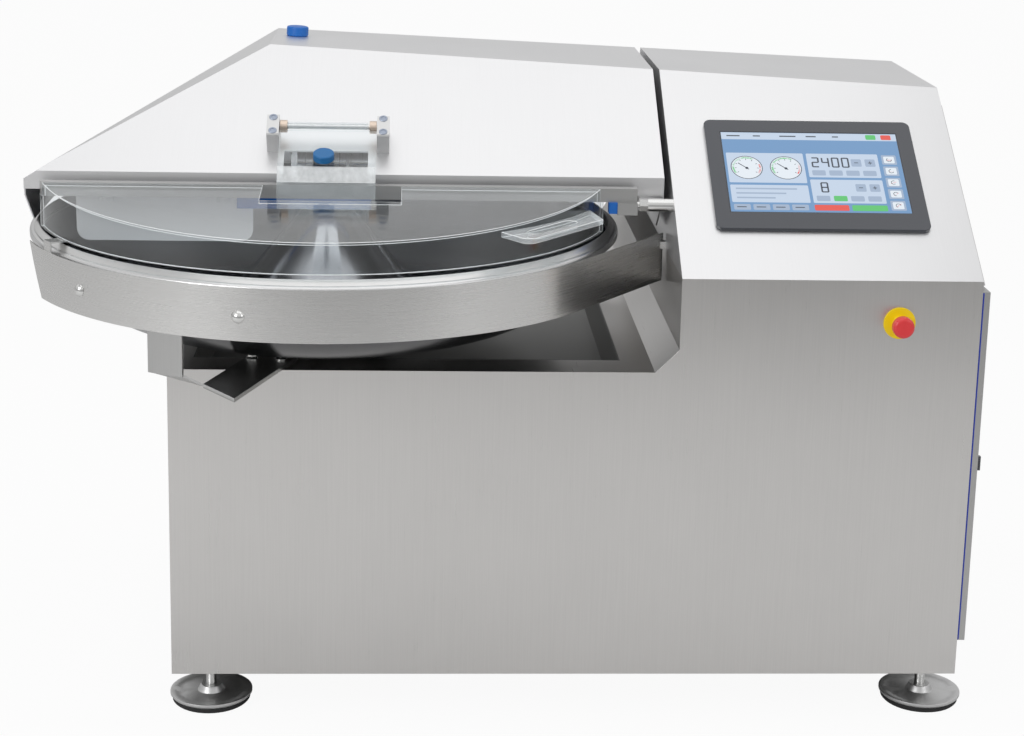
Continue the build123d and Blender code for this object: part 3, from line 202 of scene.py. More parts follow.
def turned_steel(name, base, rough, rings, rim_base, rim_rough, rim_start):
    """Turned steel: fine rings round the upright axis, with the long streaks of light that they give.

    Outside rim_start the rolled rim is brushed brighter and without the streaks. The underside is painted
    darker, as painted shade.
    """
    graph = Graph(name)
    graph.set(Metallic=1.0, Anisotropic_Rotation=0.25)
    tangent = graph.add("ShaderNodeTangent", direction_type="RADIAL", axis="Z")
    graph.join(tangent, "Tangent", graph.shader, "Tangent")
    where = graph.add("ShaderNodeTexCoord")
    shift = graph.add("ShaderNodeVectorMath", operation="SUBTRACT")
    shift.inputs[1].default_value = (BOWL.x, BOWL.y, 0)
    graph.join(where, "Object", shift, 0)
    flat = graph.add("ShaderNodeVectorMath", operation="MULTIPLY")
    flat.inputs[1].default_value = (1, 1, 0)
    graph.join(shift, "Vector", flat, 0)
    radius = graph.add("ShaderNodeVectorMath", operation="LENGTH")
    graph.join(flat, "Vector", radius, 0)
    noise = graph.add("ShaderNodeTexNoise", noise_dimensions="1D")
    noise.inputs["Scale"].default_value = rings
    graph.join(radius, "Value", noise, "W")
    tone = graph.ramp(noise, "Fac", shade(base, 0.94), base)
    gloss = graph.ramp(noise, "Fac", rough * 0.8, rough * 1.2)
    rim = graph.map_range(radius, "Value", rim_start, rim_start + 2 * MM)
    rim_tone = graph.ramp(noise, "Fac", shade(rim_base, 0.97), rim_base)
    rim_gloss = graph.ramp(noise, "Fac", rim_rough * 0.9, rim_rough * 1.1)
    # Painted shade: faces turned downwards get a much darker tone, for the shade under the bowl.
    side = graph.add("ShaderNodeNewGeometry")
    split = graph.add("ShaderNodeSeparateXYZ")
    graph.join(side, "Normal", split, "Vector")
    under = graph.map_range(split, "Z", -0.1, -0.4)
    inside = graph.mix(rim, tone.outputs["Color"], rim_tone.outputs["Color"])
    underside_painted_shade = graph.ramp(noise, "Fac", shade(base, 0.30), shade(base, 0.36))
    outside = graph.mix(under, inside, underside_painted_shade.outputs["Color"])
    graph.tree.links.new(outside, graph.shader.inputs["Base Color"])
    rough_mix = graph.mix(rim, gloss.outputs["Color"], rim_gloss.outputs["Color"])
    graph.tree.links.new(rough_mix, graph.shader.inputs["Roughness"])
    streaks = graph.add("ShaderNodeMapRange")
    streaks.inputs["To Min"].default_value = 0.8
    streaks.inputs["To Max"].default_value = 0.2
    graph.join(rim, "Result", streaks, "Value")
    graph.join(streaks, "Result", graph.shader, "Anisotropic")
    return graph.material


def plastic(name, color, rough, speckle=0.04, coat=0.0, grain=900.0):
    """Moulded plastic with a faint grain and small changes of tone."""
    graph = Graph(name)
    graph.set(Coat_Weight=coat, Coat_Roughness=0.08)
    fine = graph.noise((grain, grain, grain), detail=2.0)
    tone = graph.ramp(fine, "Fac", shade(color, 1 - speckle), color)
    graph.join(tone, "Color", graph.shader, "Base Color")
    gloss = graph.ramp(fine, "Fac", rough * 0.9, rough * 1.1)
    graph.join(gloss, "Color", graph.shader, "Roughness")
    graph.bump(fine, "Fac", PLASTIC_RELIEF, 0.3)
    return graph.material


def clear(name, tint, marks_and_highlight_share):
    """Thin clear polycarbonate: see-through from the front, a mirror at flat angles, with faint wiping marks.

    The last argument is the share of white: at small values faint wiping marks, at large values a painted
    highlight.
    """
    graph = Graph(name)
    graph.tree.nodes.remove(graph.shader)
    through = graph.add("ShaderNodeBsdfTransparent")
    through.inputs["Color"].default_value = (*tint, 1)
    mirror = graph.add("ShaderNodeBsdfGlossy")
    mirror.inputs["Color"].default_value = (1, 1, 1, 1)
    marks = graph.noise((60, 6, 60), detail=4.0)
    gloss = graph.ramp(marks, "Fac", 0.01, 0.05)
    graph.join(gloss, "Color", mirror, "Roughness")
    side = graph.add("ShaderNodeNewGeometry")
    index = graph.add("ShaderNodeMath", operation="MULTIPLY_ADD")
    index.inputs[1].default_value = 1 / CLEAR_IOR - CLEAR_IOR
    index.inputs[2].default_value = CLEAR_IOR
    graph.join(side, "Backfacing", index, 0)
    fresnel = graph.add("ShaderNodeFresnel")
    graph.join(index, "Value", fresnel, "IOR")
    share = graph.add("ShaderNodeMath", operation="MULTIPLY")
    share.inputs[1].default_value = CLEAR_MIRROR
    graph.join(fresnel, "Fac", share, 0)
    mix = graph.mix_shaders(share, "Value", through.outputs["BSDF"], mirror.outputs["BSDF"])
    marks_and_highlight_white = graph.add("ShaderNodeBsdfPrincipled")
    marks_and_highlight_white.inputs["Base Color"].default_value = (0.92, 0.94, 0.95, 1)
    marks_and_highlight_white.inputs["Roughness"].default_value = 0.3
    cloud = graph.ramp(marks, "Fac", marks_and_highlight_share * 0.8, marks_and_highlight_share * 1.2)
    both = graph.mix_shaders(cloud, "Color", mix.outputs["Shader"], marks_and_highlight_white.outputs["BSDF"])
    graph.join(both, "Shader", graph.out, "Surface")
    return graph.material


def glow(name, color, strength=1.0, rough=0.3):
    """A lit patch of the display."""
    graph = Graph(name)
    graph.set(Roughness=rough, Emission_Strength=strength)
    graph.shader.inputs["Base Color"].default_value = (0.02, 0.02, 0.02, 1)
    fine = graph.noise((2500, 2500, 2500), detail=0.0)
    tone = graph.ramp(fine, "Fac", shade(color, 0.97), color)
    graph.join(tone, "Color", graph.shader, "Emission Color")
    return graph.material


# Scale of the steel's grain on each axis: a high number is fine, a low one long.
VERTICAL = (700, 6, 6)
VERTICAL_ON_SIDES = (6, 700, 6)
ALONG_X = (5, 500, 500)
ROUND_BAND = (8, 8, 900)
EVEN = (40, 40, 40)
FINE = (300, 300, 300)
PANEL = steel("steel_panel", (0.68, 0.668, 0.655), 0.30, VERTICAL, contrast=0.035, anisotropic=0.6)
# Painted light: the slopes' steel is the cabinet's steel made lighter, for the light that falls on them from
# above.
LIT_SLOPE_STEEL = steel("steel_slope_painted_light", (0.78, 0.78, 0.788), 0.40, VERTICAL, contrast=0.02)
# Painted shade: the side pieces' steel is the cabinet's steel made darker, for the shade on faces turned away
# from the front light.
SHADED_SIDE_STEEL = steel("steel_side_painted_shade", (0.50, 0.50, 0.495), 0.36, VERTICAL_ON_SIDES, contrast=0.03)
BAND = steel("steel_band", (0.73, 0.725, 0.715), 0.27, ROUND_BAND, contrast=0.025, anisotropic=0.5, turn=0.25)
# Painted shade: the deck tray and base frame under the bowl are darkened for the shade they lie in.
SHADED_DARK_STEEL = steel("steel_dark_painted_shade", (0.29, 0.29, 0.285), 0.48, ALONG_X, contrast=0.05)
# Painted shade: the guard's arm under the bowl is darkened for the shade it lies in.
SHADED_ARM_STEEL = steel("steel_arm_painted_shade", (0.42, 0.42, 0.41), 0.36, ALONG_X, contrast=0.08)
POLISHED = steel("steel_polished", (0.74, 0.74, 0.73), 0.16, EVEN, contrast=0.03)
MACHINED = steel("steel_machined", (0.45, 0.45, 0.46), 0.42, FINE, contrast=0.08)
BOWL_STEEL = turned_steel(
    "steel_bowl", base=(0.57, 0.58, 0.61), rough=0.22, rings=900.0,
    rim_base=(0.74, 0.74, 0.74), rim_rough=0.30, rim_start=RIM_START)
BLOCK = steel("steel_block", (0.66, 0.66, 0.66), 0.42, FINE, contrast=0.04)
RIM_STEEL = steel("steel_rim", (0.70, 0.70, 0.695), 0.30, EVEN, contrast=0.03, anisotropic=0.4)
SCREW = steel("steel_screw", (0.36, 0.40, 0.48), 0.45, FINE, contrast=0.06)
BRONZE = steel("bronze", (0.72, 0.60, 0.50), 0.34, FINE, contrast=0.08)
BLUE = plastic("blue_plastic", (0.004, 0.13, 0.50), 0.42)
TEAL = plastic("knob_plastic", (0.006, 0.135, 0.36), 0.38)
GREY = plastic("grey_plastic", (0.80, 0.81, 0.82), 0.45)
BLACK = plastic("dark_plastic", (0.030, 0.034, 0.045), 0.22, coat=0.6)
YELLOW = plastic("yellow_plastic", (0.93, 0.68, 0.0), 0.4)
RED = plastic("red_plastic", (0.72, 0.035, 0.04), 0.32, coat=0.3)
RUBBER = plastic("black_rubber", (0.018, 0.018, 0.019), 0.75, speckle=0.2, grain=400.0)
BLUE_RUBBER = plastic("blue_rubber", (0.02, 0.05, 0.45), 0.6)
PAINT = plastic("motor_paint", (0.16, 0.18, 0.20), 0.45, grain=500.0)
CLEAR = clear("clear_plastic", (0.97, 0.985, 0.99), marks_and_highlight_share=0.01)
# Painted highlight: the flap's bent and upright facets and the lid's grip get a large white share for the
# bright light on them.
CLEAR_BEND_HIGHLIGHT = clear("clear_bend_painted_highlight", (0.97, 0.985, 0.99), marks_and_highlight_share=0.5)
CLEAR_GRIP_HIGHLIGHT = clear("clear_grip_painted_highlight", (0.95, 0.975, 0.985), marks_and_highlight_share=0.17)
# Painted highlight: the sheets' cut edges are pale opaque plastic for the bright light along them.
EDGE_HIGHLIGHT = plastic("clear_edge_painted_highlight", (0.86, 0.89, 0.90), 0.25, coat=0.5)
SCREEN = plastic("screen_glass", (0.012, 0.02, 0.035), 0.12, coat=1.0)


# ================= finish of the CAD nodes =================
# Each node's material, and the width of its small rounded edges in mm.
FINISHES = {
    "base_cabinet": (PANEL, 1.2), "console_housing": (LIT_SLOPE_STEEL, 1.5), "deck_tray": (SHADED_DARK_STEEL, 0.8),
    "deck_apron": (PANEL, 0.6), "base_frame": (SHADED_DARK_STEEL, 1.0), "foot_discs": (BLOCK, 0.8),
    "foot_pads": (RUBBER, 1.0), "foot_studs": (POLISHED, 0.4), "side_cover_upper": (SHADED_SIDE_STEEL, 1.2),
    "rear_panel": (SHADED_SIDE_STEEL, 0.4), "bowl": (BOWL_STEEL, 0.0), "bowl_hub": (POLISHED, 1.0),
    "bowl_shaft": (MACHINED, 1.0), "bowl_bearing_housing": (MACHINED, 1.0), "bowl_bearings": (POLISHED, 0.4),
    "bowl_gearmotor": (PAINT, 1.5), "knife_blades": (POLISHED, 0.3), "knife_head": (POLISHED, 1.0),
    "knife_shaft": (MACHINED, 0.8), "knife_pulley": (MACHINED, 0.8), "knife_bearing_housing": (PANEL, 1.0),
    "knife_bearings": (POLISHED, 0.4), "bearing_pedestal": (PAINT, 1.5), "drive_belt": (RUBBER, 0.6),
    "knife_motor": (PAINT, 1.0), "motor_pulley": (MACHINED, 0.8), "inverter_unit": (PAINT, 1.0),
    "guard_band": (BAND, 0.4), "guard_bolts": (POLISHED, 0.4), "guard_bracket": (SHADED_SIDE_STEEL, 0.8),
    "guard_arm": (SHADED_ARM_STEEL, 0.8), "hood_shell": (LIT_SLOPE_STEEL, 1.5), "hood_baffle": (GREY, 1.0),
    "hood_scraper": (BLUE, 1.0), "hood_shaft": (POLISHED, 1.0), "hood_bearing": (MACHINED, 1.0),
    "hood_buffer": (BLUE, 3.0), "flap_blocks": (BLOCK, 0.8), "flap_screws": (SCREW, 0.4),
    "flap_rod": (POLISHED, 0.3), "flap_sheet": (CLEAR, 1.0), "flap_bushings": (BRONZE, 0.5),
    "flap_knob": (TEAL, 1.0), "lid_shell": (CLEAR, 1.2), "lid_bar": (SHADED_SIDE_STEEL, 0.8), "lid_bush": (BLUE, 0.8),
    "lid_handle": (CLEAR_GRIP_HIGHLIGHT, 1.2), "lid_pivot_tube": (POLISHED, 0.6), "screen_bezel": (BLACK, 1.5),
    "screen_display": (SCREEN, 0.2), "estop_collar": (YELLOW, 0.8), "estop_button": (RED, 0.8),
    "side_door": (SHADED_SIDE_STEEL, 1.5), "door_gasket": (BLUE_RUBBER, 0.4), "door_hinges": (POLISHED, 0.6),
    "door_latch": (BLACK, 1.0),
}
CLEAR_NODES = {"flap_sheet", "lid_shell", "lid_handle"}
CUT_HIGHLIGHT_SLOT, BEND_HIGHLIGHT_SLOT, GRIP_HIGHLIGHT_SLOT = 1, 2, 3
CUT_THICKEST = 12 * MM
SHARP = math.radians(28)
WELD_WITHIN = 0.02 * MM


def round_edges(piece, width):
    """Small rounded edges and clean shading, as modifiers: the mesh itself stays as it is."""
    weld = piece.modifiers.new("weld", "WELD")
    weld.merge_threshold = WELD_WITHIN
    flat = piece.modifiers.new("flat", "DECIMATE")
    flat.decimate_type = "DISSOLVE"
    flat.angle_limit = math.radians(0.5)
    bevel = piece.modifiers.new("edges", "BEVEL")
    bevel.width = width * MM
    bevel.segments = 2
    bevel.limit_method = "ANGLE"
    bevel.angle_limit = SHARP
    bevel.use_clamp_overlap = True
    if len(piece.data.materials) > 1:
        bevel.material = CUT_HIGHLIGHT_SLOT
    normals = piece.modifiers.new("normals", "WEIGHTED_NORMAL")
    normals.weight = 80


def sheet_faces(sheet):
    """Material slots of a clear sheet: cut edges in pale opaque plastic, and the flap's steep and upright
    facets with more white, both as painted highlight.
    """
    vertices = sheet.data.vertices
    is_flap = sheet is nodes["flap_sheet"]
    for polygon in sheet.data.polygons:
        corners = [vertices[i].co for i in polygon.vertices]
        longest = max((a - b).length for a, b in zip(corners, corners[1:] + corners[:1]))
        depth = 2 * polygon.area / longest
        if abs(polygon.normal.x) > 0.95 and depth < CUT_THICKEST:
            polygon.material_index = CUT_HIGHLIGHT_SLOT
        elif is_flap and 0.4 < abs(polygon.normal.z) < 0.6:
            polygon.material_index = BEND_HIGHLIGHT_SLOT
        elif is_flap and abs(polygon.normal.y) > 0.95:
            polygon.material_index = GRIP_HIGHLIGHT_SLOT


for name, (material, width) in FINISHES.items():
    piece = nodes[name]
    piece.data.materials.clear()
    piece.data.materials.append(material)
    if name in CLEAR_NODES:
        for extra in (EDGE_HIGHLIGHT, CLEAR_BEND_HIGHLIGHT, CLEAR_GRIP_HIGHLIGHT):
            piece.data.materials.append(extra)
        sheet_faces(piece)
    if width > 0:
        for polygon in piece.data.polygons:
            polygon.use_smooth = True
        round_edges(piece, width)


# ================= pieces of the scene =================
def new_object(name, material, points, faces):
    """An object of one material, from points and faces."""
    mesh = bpy.data.meshes.new(name)
    mesh.from_pydata(points, [], faces)
    mesh.materials.append(material)
    made = bpy.data.objects.new(name, mesh)
    bpy.context.scene.collection.objects.link(made)
    return made


def turned_piece(name, body, material, turns, profile, steps, closed=True):
    """A piece turned from a profile of (radius, height) points, once round each centre and axis in turns."""
    points = []
    faces = []
    for centre, axis in turns:
        across = axis.orthogonal().normalized()
        sideways = axis.cross(across)
        first = len(points)
        for step in range(steps):
            angle = 2 * math.pi * step / steps
            outward = across * math.cos(angle) + sideways * math.sin(angle)
            points += [centre + outward * radius + axis * height for radius, height in profile]
        count = len(profile)
        spans = count if closed else count - 1
        for step in range(steps):
            here = first + step * count
            there = first + (step + 1) % steps * count
            for i in range(spans):
                j = (i + 1) % count
                faces.append((here + i, there + i, there + j, here + j))
        if not closed:
            faces.append([first + step * count + count - 1 for step in range(steps)])
    piece = new_object(name, material, points, faces)
    fixer = bmesh.new()
    fixer.from_mesh(piece.data)
    bmesh.ops.recalc_face_normals(fixer, faces=fixer.faces)
    fixer.to_mesh(piece.data)
    fixer.free()
    for polygon in piece.data.polygons:
        polygon.use_smooth = True
    split = piece.modifiers.new("split", "EDGE_SPLIT")
    split.split_angle = math.radians(30)
    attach(piece, body)
    return piece


def bowl_rim():
    """The bowl's polished rim: it slopes outwards from its inner edge and turns down at the outside."""
    outer = bowl_high.x - BOWL.x - 0.2 * MM
    lip_height = 9 * MM
    top = RIM_TOP + lip_height
    slope_in = outer - 20 * MM
    slope_out = outer - 3.5 * MM
    profile = [(slope_in, top - 19 * MM), (slope_in, top - 1.5 * MM), (slope_in + 1.5 * MM, top),
               (slope_in + 4 * MM, top - 1 * MM), (slope_out, top - 14 * MM), (outer - 1 * MM, top - 17 * MM),
               (outer, top - 20 * MM), (outer, top - 24 * MM), (outer - 2 * MM, top - 25 * MM)]
    turns = [(Vector((BOWL.x, BOWL.y, 0)), UP)]
    turned_piece("bowl_rim", "bowl_set", RIM_STEEL, turns, profile, steps=240)


def screw_caps():
    """Broad flat screw heads with a round recess, in place of the CAD's narrow ones on the flap's blocks."""
    places = [vertex.co for vertex in nodes["flap_screws"].data.vertices]
    centre = sum(places, Vector()) / len(places)
    turns = []
    for right in (False, True):
        for upper in (False, True):
            head = [p for p in places
                    if (p.x > centre.x) == right and ((p - centre).dot(SLOPE_UP) > 0) == upper]
            middle = sum(head, Vector()) / len(head)
            foot = min(p.dot(SLOPE_OUT) for p in head)
            turns.append((middle + SLOPE_OUT * (foot - middle.dot(SLOPE_OUT)), SLOPE_OUT))
    radius = 8.0 * MM
    chamfer = 0.8 * MM
    top = 1.5 * MM
    profile = [(radius, -0.2 * MM), (radius, 0.8 * MM), (radius - chamfer, top), (radius * 0.62, top),
               (radius * 0.55, 0.5 * MM)]
    caps = turned_piece("flap_screw_caps", "hood", SCREW, turns, profile, steps=36, closed=False)
    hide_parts("flap_screws")


def arm_bolts():
    """Hex bolts standing on the guard's arm, each on a washer, over the two bolts that hold it."""
    low_bolts = [v.co for v in nodes["guard_bolts"].data.vertices if v.co.z < bowl_low.z + 10 * MM]
    middle_x = sum(p.x for p in low_bolts) / len(low_bolts)
    arm_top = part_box("guard_arm")[1].z
    washer_top, head_top, stud_top = 2.0, 9.4, 15.0
    # Corners of each part, then the radius and height in mm of its rings.
    stack = [
        (24, [(12, 0.0), (12, washer_top)]),
        (6, [(8.5, washer_top), (8.5, 8.2), (7.4, head_top)]),
        (12, [(4.2, head_top), (4.2, stud_top)]),
    ]
    points = []
    faces = []
    for right in (False, True):
        bolt = [p for p in low_bolts if (p.x > middle_x) == right]
        centre = sum(bolt, Vector()) / len(bolt)
        for corners, rings in stack:
            for level, (radius, height) in enumerate(rings):
                first = len(points)
                for i in range(corners):
                    angle = 2 * math.pi * (i + 0.5) / corners
                    points.append((centre.x + radius * MM * math.cos(angle),
                                   centre.y + radius * MM * math.sin(angle), arm_top + height * MM))
                faces.append(list(range(first, first + corners)))
                if level > 0:
                    before = first - corners
                    for i in range(corners):
                        j = (i + 1) % corners
                        faces.append((before + i, before + j, first + j, first + i))
    piece = new_object("guard_arm_bolts", POLISHED, points, faces)
    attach(piece, "machine")


def gasket_lip():
    """The soft lip of the door's seal, a half-round strip up the door's front edge."""
    low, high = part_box("side_door")
    radius = 1.8 * MM
    x = low.x + 4 * MM
    steps = 8
    tip = 1 * MM
    taper = 2.5 * MM
    levels = (low.z + tip, low.z + taper, high.z - taper, high.z - tip)
    scales = (0.5, 1.0, 1.0, 0.5)
    points = []
    faces = []
    for level, scale in zip(levels, scales):
        for step in range(steps + 1):
            angle = math.pi * step / steps
            points.append((x + radius * scale * math.cos(angle),
                           low.y - radius * scale * math.sin(angle), level))
    count = steps + 1
    for row in range(len(levels) - 1):
        for i in range(steps):
            a = row * count + i
            faces.append((a, a + 1, a + count + 1, a + count))
    faces.append(list(range(count)))
    faces.append([(len(levels) - 1) * count + i for i in range(count)])
    piece = new_object("door_gasket_lip", BLUE_RUBBER, points, faces)
    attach(piece, "door")


bowl_rim()
screw_caps()
arm_bolts()
gasket_lip()


# ================= picture on the screen =================
class Picture:
    """Flat shapes of one colour on the display, in mm from its lower left corner."""

    LAYER = 0.15
    SEGMENTS = {
        "0": "abcdef", "1": "bc", "2": "abged", "3": "abgcd", "4": "fgbc",
        "5": "afgcd", "6": "afgedc", "7": "abc", "8": "abcdefg", "9": "abcdfg",
    }

    def __init__(self, name, material, layer):
        self.name = name
        self.material = material
        self.height = self.LAYER * (1 + layer) * MM
        self.points = []
        self.faces = []

    def shape(self, outline):
        start = len(self.points)
        for x, y in outline:
            place = DISPLAY_CORNER + RIGHT * x * MM + SLOPE_UP * y * MM
            self.points.append(place + SLOPE_OUT * self.height)
        self.faces.append(list(range(start, len(self.points))))

    def tile(self, x, y, wide, high, corner=2.5):
        """A rectangle with round corners, from its lower left corner."""
        outline = []
        steps = 4
        middles = [(x + wide - corner, y + corner), (x + wide - corner, y + high - corner),
                   (x + corner, y + high - corner), (x + corner, y + corner)]
        for quarter, (mx, my) in enumerate(middles):
            for step in range(steps + 1):
                angle = math.radians(90 * (quarter - 1 + step / steps))
                outline.append((mx + corner * math.cos(angle), my + corner * math.sin(angle)))
        self.shape(outline)

    def ring(self, x, y, inner, outer, start=0, end=360):
        """Part of a ring, from one angle to another in degrees, anticlockwise from the right."""
        steps = max(4, round((end - start) / 12))
        for step in range(steps):
            a = math.radians(start + (end - start) * step / steps)
            b = math.radians(start + (end - start) * (step + 1) / steps)
            self.shape([(x + inner * math.cos(a), y + inner * math.sin(a)),
                        (x + outer * math.cos(a), y + outer * math.sin(a)),
                        (x + outer * math.cos(b), y + outer * math.sin(b)),
                        (x + inner * math.cos(b), y + inner * math.sin(b))])

    def disc(self, x, y, radius):
        steps = 32
        angles = [2 * math.pi * i / steps for i in range(steps)]
        self.shape([(x + radius * math.cos(angle), y + radius * math.sin(angle)) for angle in angles])

    def line(self, x0, y0, x1, y1, wide):
        length = math.hypot(x1 - x0, y1 - y0)
        sx = -(y1 - y0) / length * wide / 2
        sy = (x1 - x0) / length * wide / 2
        self.shape([(x0 - sx, y0 - sy), (x1 - sx, y1 - sy), (x1 + sx, y1 + sy), (x0 + sx, y0 + sy)])

    def digits(self, text, x, y, high):
        """Plain digits of seven bars each."""
        wide = high * 0.5
        stroke = high * 0.13
        half = high / 2
        bars = {
            "a": (0, high, wide, high), "b": (wide, half, wide, high), "c": (wide, 0, wide, half),
            "d": (0, 0, wide, 0), "e": (0, 0, 0, half), "f": (0, half, 0, high), "g": (0, half, wide, half),
        }
        for place, digit in enumerate(text):
            left = x + place * (wide + stroke * 2.4)
            for bar in self.SEGMENTS[digit]:
                x0, y0, x1, y1 = bars[bar]
                self.line(left + x0, y + y0, left + x1, y + y1, stroke)

    def build(self):
        piece = new_object(self.name, self.material, self.points, self.faces)
        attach(piece, "machine")


def draw_cards(ground, cards):
    """The ground, the bar along its top and the four cards."""
    edge = 1.5
    inside = DISPLAY_WIDE - 2 * edge
    ground.tile(edge, edge, inside, DISPLAY_HIGH - 2 * edge, 1.0)
    cards.tile(edge, DISPLAY_HIGH - 21, inside, 19, 1.0)
    left, left_wide = 6, 150
    right, right_wide = 162, 140
    cards.tile(left, 78, left_wide, 80)
    cards.tile(left, 26, left_wide, 46)
    cards.tile(right, 94, right_wide, 64)
    cards.tile(right, 26, right_wide, 62)


def draw_dials(white, ink, green, red):
    """Two round dials with a green and a red zone, nine marks and a pointer."""
    y = 118
    face = 31
    zone = (24.5, 28)
    first_mark, mark_pitch = 215, 31.25
    for x in (43, 119):
        white.disc(x, y, face)
        ink.ring(x, y, face - 1.5, face)
        green.ring(x, y, *zone, 60, first_mark)
        red.ring(x, y, *zone, -35, 20)
        for mark in range(9):
            angle = math.radians(first_mark - mark_pitch * mark)
            ink.line(x + 20 * math.cos(angle), y + 20 * math.sin(angle),
                     x + 23.5 * math.cos(angle), y + 23.5 * math.sin(angle), 1.2)
        ink.line(x + 4, y - 5, x - 16, y + 12, 1.8)
        ink.disc(x, y - 1.5, 3)


def draw_values(keys, ink, green):
    """Bars below the dials; then two values, each with a minus key, a plus key and a row of four keys."""
    for row in range(3):
        keys.tile(16, 60 - 12 * row, 118 - 22 * row, 4, 1.0)
    digit_high = 24
    ink.digits("2400", 172, 122, digit_high)
    ink.digits("8", 182, 55, digit_high)
    key = 20
    key_rows = (124, 57)
    minus, plus = 248, 275
    for x in (minus, plus):
        for y in key_rows:
            keys.tile(x, y, key, key)
        for y in key_rows:
            ink.line(x + 6, y + key / 2, x + 14, y + key / 2, 1.6)
    for y in key_rows:
        ink.line(plus + key / 2, y + 6, plus + key / 2, y + 14, 1.6)
    first, pitch, key_wide, key_high = 169, 33, 26, 14
    chosen = 1
    for column in range(4):
        keys.tile(first + pitch * column, 99, key_wide, key_high)
        if column != chosen:
            keys.tile(first + pitch * column, 31, key_wide, key_high)
    green.tile(first + pitch * chosen, 31, key_wide, key_high)


def draw_icons(keys, white, ink, red):
    """Five square keys up the right edge, each with an open ring and a slanted stroke."""
    left = 309
    for row in range(5):
        y = 8 + 30.5 * row
        keys.tile(left, y, 29, 26)
        white.tile(left + 4, y + 4, 21, 18)
        start = 30 * row
        ink.ring(left + 14.5, y + 13, 4, 5.2, start, start + 250)
        red.line(left + 9, y + 8 + row, left + 20, y + 17 - row, 1.2)


def draw_bars(keys, ink, green, red):
    """Keys along the bottom; marks and two lamps in the bar along the top."""
    low, key_high = 6, 15
    red.tile(162, low, 66, key_high)
    green.tile(234, low, 68, key_high)
    for column in range(4):
        x = 8 + 37 * column
        keys.tile(x, low, 32, key_high)
        ink.line(x + 6, low + key_high / 2, x + 24, low + key_high / 2, 2.2)
    for column, mark in enumerate((26, 14, 32, 20, 12)):
        x = 12 + 52 * column
        ink.line(x, DISPLAY_HIGH - 11.5, x + mark, DISPLAY_HIGH - 11.5, 3.0)
    for lamp, x in ((green, 286), (red, 316)):
        lamp.tile(x, DISPLAY_HIGH - 18, 20, 13)


def screen_picture():
    """An own layout: two dials at the left, two values with keys at the right, icons in the last column."""
    ground = Picture("screen_ground", glow("screen_blue", (0.14, 0.29, 0.52)), 0)
    cards = Picture("screen_cards", glow("screen_pale", (0.52, 0.62, 0.76)), 1)
    keys = Picture("screen_keys", glow("screen_key", (0.33, 0.42, 0.56)), 2)
    ink = Picture("screen_ink", glow("screen_dark", (0.03, 0.04, 0.06)), 4)
    white = Picture("screen_dials", glow("screen_white", (0.74, 0.80, 0.86)), 3)
    green = Picture("screen_green", glow("screen_green", (0.09, 0.52, 0.14)), 3)
    red = Picture("screen_red", glow("screen_red", (0.75, 0.07, 0.05)), 3)
    draw_cards(ground, cards)
    draw_dials(white, ink, green, red)
    draw_values(keys, ink, green)
    draw_icons(keys, white, ink, red)
    draw_bars(keys, ink, green, red)
    for picture in (ground, cards, keys, white, green, red, ink):
        picture.build()


screen_picture()


# ================= floor, lights and camera =================
def studio_floor():
    """A pale floor, greyer far in front of the machine: nearly white to the camera, with the soft shadow."""
    half = 14.0
    sweep_far, sweep_near = -4.0, -2.4
    camera_share = 0.94
    graph = Graph("floor")
    graph.set(Roughness=0.9)
    where = graph.add("ShaderNodeTexCoord")
    split = graph.add("ShaderNodeSeparateXYZ")
    graph.join(where, "Object", split, "Vector")
    sweep = graph.map_range(split, "Y", sweep_far, sweep_near, interpolation_type="SMOOTHSTEP")
    tone = graph.ramp(sweep, "Result", 0.36, 0.74, start=0.0, end=1.0)
    graph.join(tone, "Color", graph.shader, "Base Color")
    lit = graph.add("ShaderNodeEmission")
    lit.inputs["Color"].default_value = (1, 1, 1, 1)
    path = graph.add("ShaderNodeLightPath")
    share = graph.add("ShaderNodeMath", operation="MULTIPLY")
    share.inputs[1].default_value = camera_share
    graph.join(path, "Is Camera Ray", share, 0)
    mix = graph.mix_shaders(share, "Value", graph.shader.outputs["BSDF"], lit.outputs["Emission"])
    graph.join(mix, "Shader", graph.out, "Surface")
    corners = [(-half, -half, 0), (half, -half, 0), (half, half, 0), (-half, half, 0)]
    floor = new_object("floor", graph.material, corners, [(0, 1, 2, 3)])


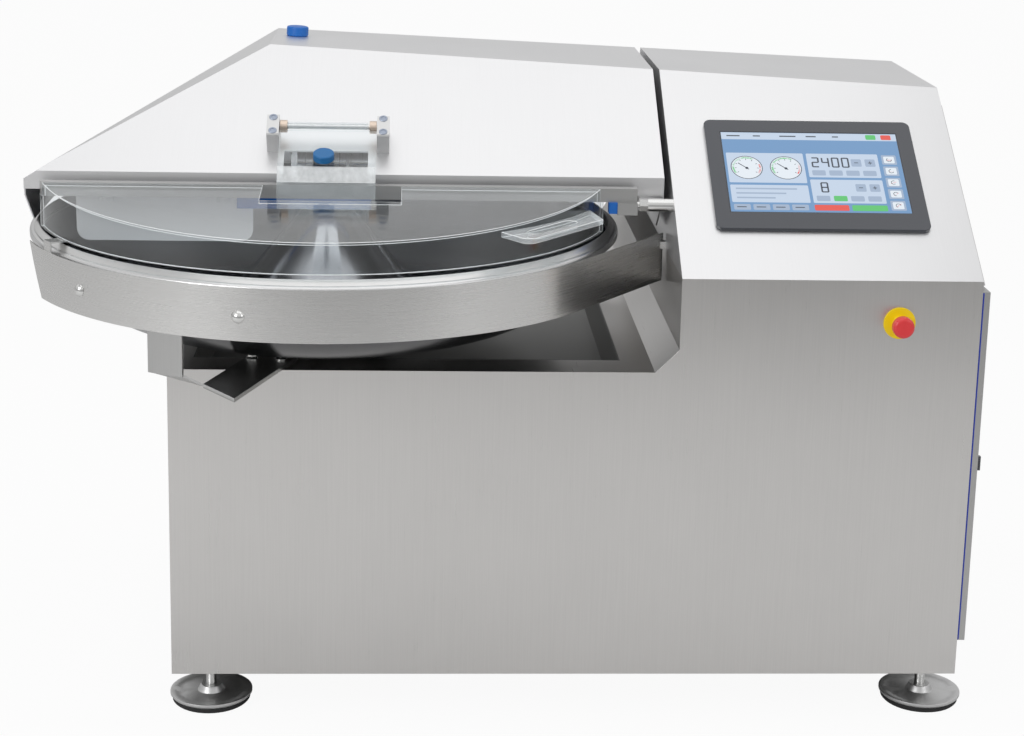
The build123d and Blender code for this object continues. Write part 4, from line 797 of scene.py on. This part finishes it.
def studio_world():
    """White to the camera. For light and reflections, a room brightest high up and greyer below."""
    world = bpy.data.worlds.new("studio")
    bpy.context.scene.world = world
    world.use_nodes = True
    tree = world.node_tree
    tree.nodes.clear()
    out = tree.nodes.new("ShaderNodeOutputWorld")
    where = tree.nodes.new("ShaderNodeTexCoord")
    split = tree.nodes.new("ShaderNodeSeparateXYZ")
    tree.links.new(where.outputs["Generated"], split.inputs[0])
    ramp = tree.nodes.new("ShaderNodeValToRGB")
    # Brightness by height, from straight down at 0 to straight up at 1.
    stops = [(0.0, 0.35), (0.45, 0.42), (0.52, 0.54), (0.62, 0.74),
             (0.80, 0.96), (0.90, 0.75), (1.0, 0.42)]
    shift = tree.nodes.new("ShaderNodeMath")
    shift.operation = "MULTIPLY_ADD"
    shift.inputs[1].default_value = 0.5
    shift.inputs[2].default_value = 0.5
    tree.links.new(split.outputs["Z"], shift.inputs[0])
    tree.links.new(shift.outputs["Value"], ramp.inputs["Fac"])
    while len(ramp.color_ramp.elements) < len(stops):
        ramp.color_ramp.elements.new(0.5)
    for element, (position, value) in zip(ramp.color_ramp.elements, stops):
        element.position = position
        element.color = (value, value, value, 1)
    room = tree.nodes.new("ShaderNodeBackground")
    tree.links.new(ramp.outputs["Color"], room.inputs["Color"])
    room.inputs["Strength"].default_value = 0.85
    white = tree.nodes.new("ShaderNodeBackground")
    white.inputs["Color"].default_value = (1, 1, 1, 1)
    path = tree.nodes.new("ShaderNodeLightPath")
    mix = tree.nodes.new("ShaderNodeMixShader")
    tree.links.new(path.outputs["Is Camera Ray"], mix.inputs["Fac"])
    tree.links.new(room.outputs["Background"], mix.inputs[1])
    tree.links.new(white.outputs["Background"], mix.inputs[2])
    tree.links.new(mix.outputs["Shader"], out.inputs["Surface"])


def softbox(name, place, target, size, watts):
    """A rectangular soft light at place, aimed at target; sizes in metres."""
    light = bpy.data.lights.new(name, "AREA")
    light.shape = "RECTANGLE"
    light.size, light.size_y = size
    light.energy = watts
    lamp = bpy.data.objects.new(name, light)
    bpy.context.scene.collection.objects.link(lamp)
    lamp.location = place
    lamp.rotation_euler = (Vector(target) - Vector(place)).to_track_quat("-Z", "Y").to_euler()


def photo_camera():
    """The photograph's viewpoint, fitted to the machine's edges."""
    place = Vector((-0.1836, -4.0041, 1.7467))
    yaw, pitch, roll = 0.0530, 0.2248, 0.0222
    focal_px = 2041.7
    frame_px, half_height = 1024.0, 368.0
    centre_v = 250.0
    sensor_mm = 36.0
    forward = Vector((math.sin(yaw) * math.cos(pitch), math.cos(yaw) * math.cos(pitch), -math.sin(pitch)))
    right = Vector((math.cos(yaw), -math.sin(yaw), 0))
    up = right.cross(forward)
    right_rolled = right * math.cos(roll) + up * math.sin(roll)
    up_rolled = up * math.cos(roll) - right * math.sin(roll)
    camera = bpy.data.objects.new("camera", bpy.data.cameras.new("camera"))
    bpy.context.scene.collection.objects.link(camera)
    turn = Matrix((right_rolled, up_rolled, -forward)).transposed()
    camera.matrix_world = Matrix.Translation(place) @ turn.to_4x4()
    camera.data.sensor_width = sensor_mm
    camera.data.lens = focal_px * sensor_mm / frame_px
    camera.data.shift_y = (centre_v - half_height) / frame_px
    camera.data.clip_end = 100
    bpy.context.scene.camera = camera


studio_floor()
studio_world()
softbox("overhead", (0.0, -0.3, 4.0), target=(0.0, -0.1, 0.8), size=(3.8, 4.0), watts=38)
softbox("front_left", (-3.2, -3.4, 2.6), target=(-0.2, 0.0, 0.8), size=(1.8, 2.4), watts=62)
softbox("front_right", (3.2, -3.0, 2.2), target=(0.4, 0.0, 0.8), size=(1.4, 2.2), watts=14)
photo_camera()
bpy.context.scene.view_settings.view_transform = "Standard"
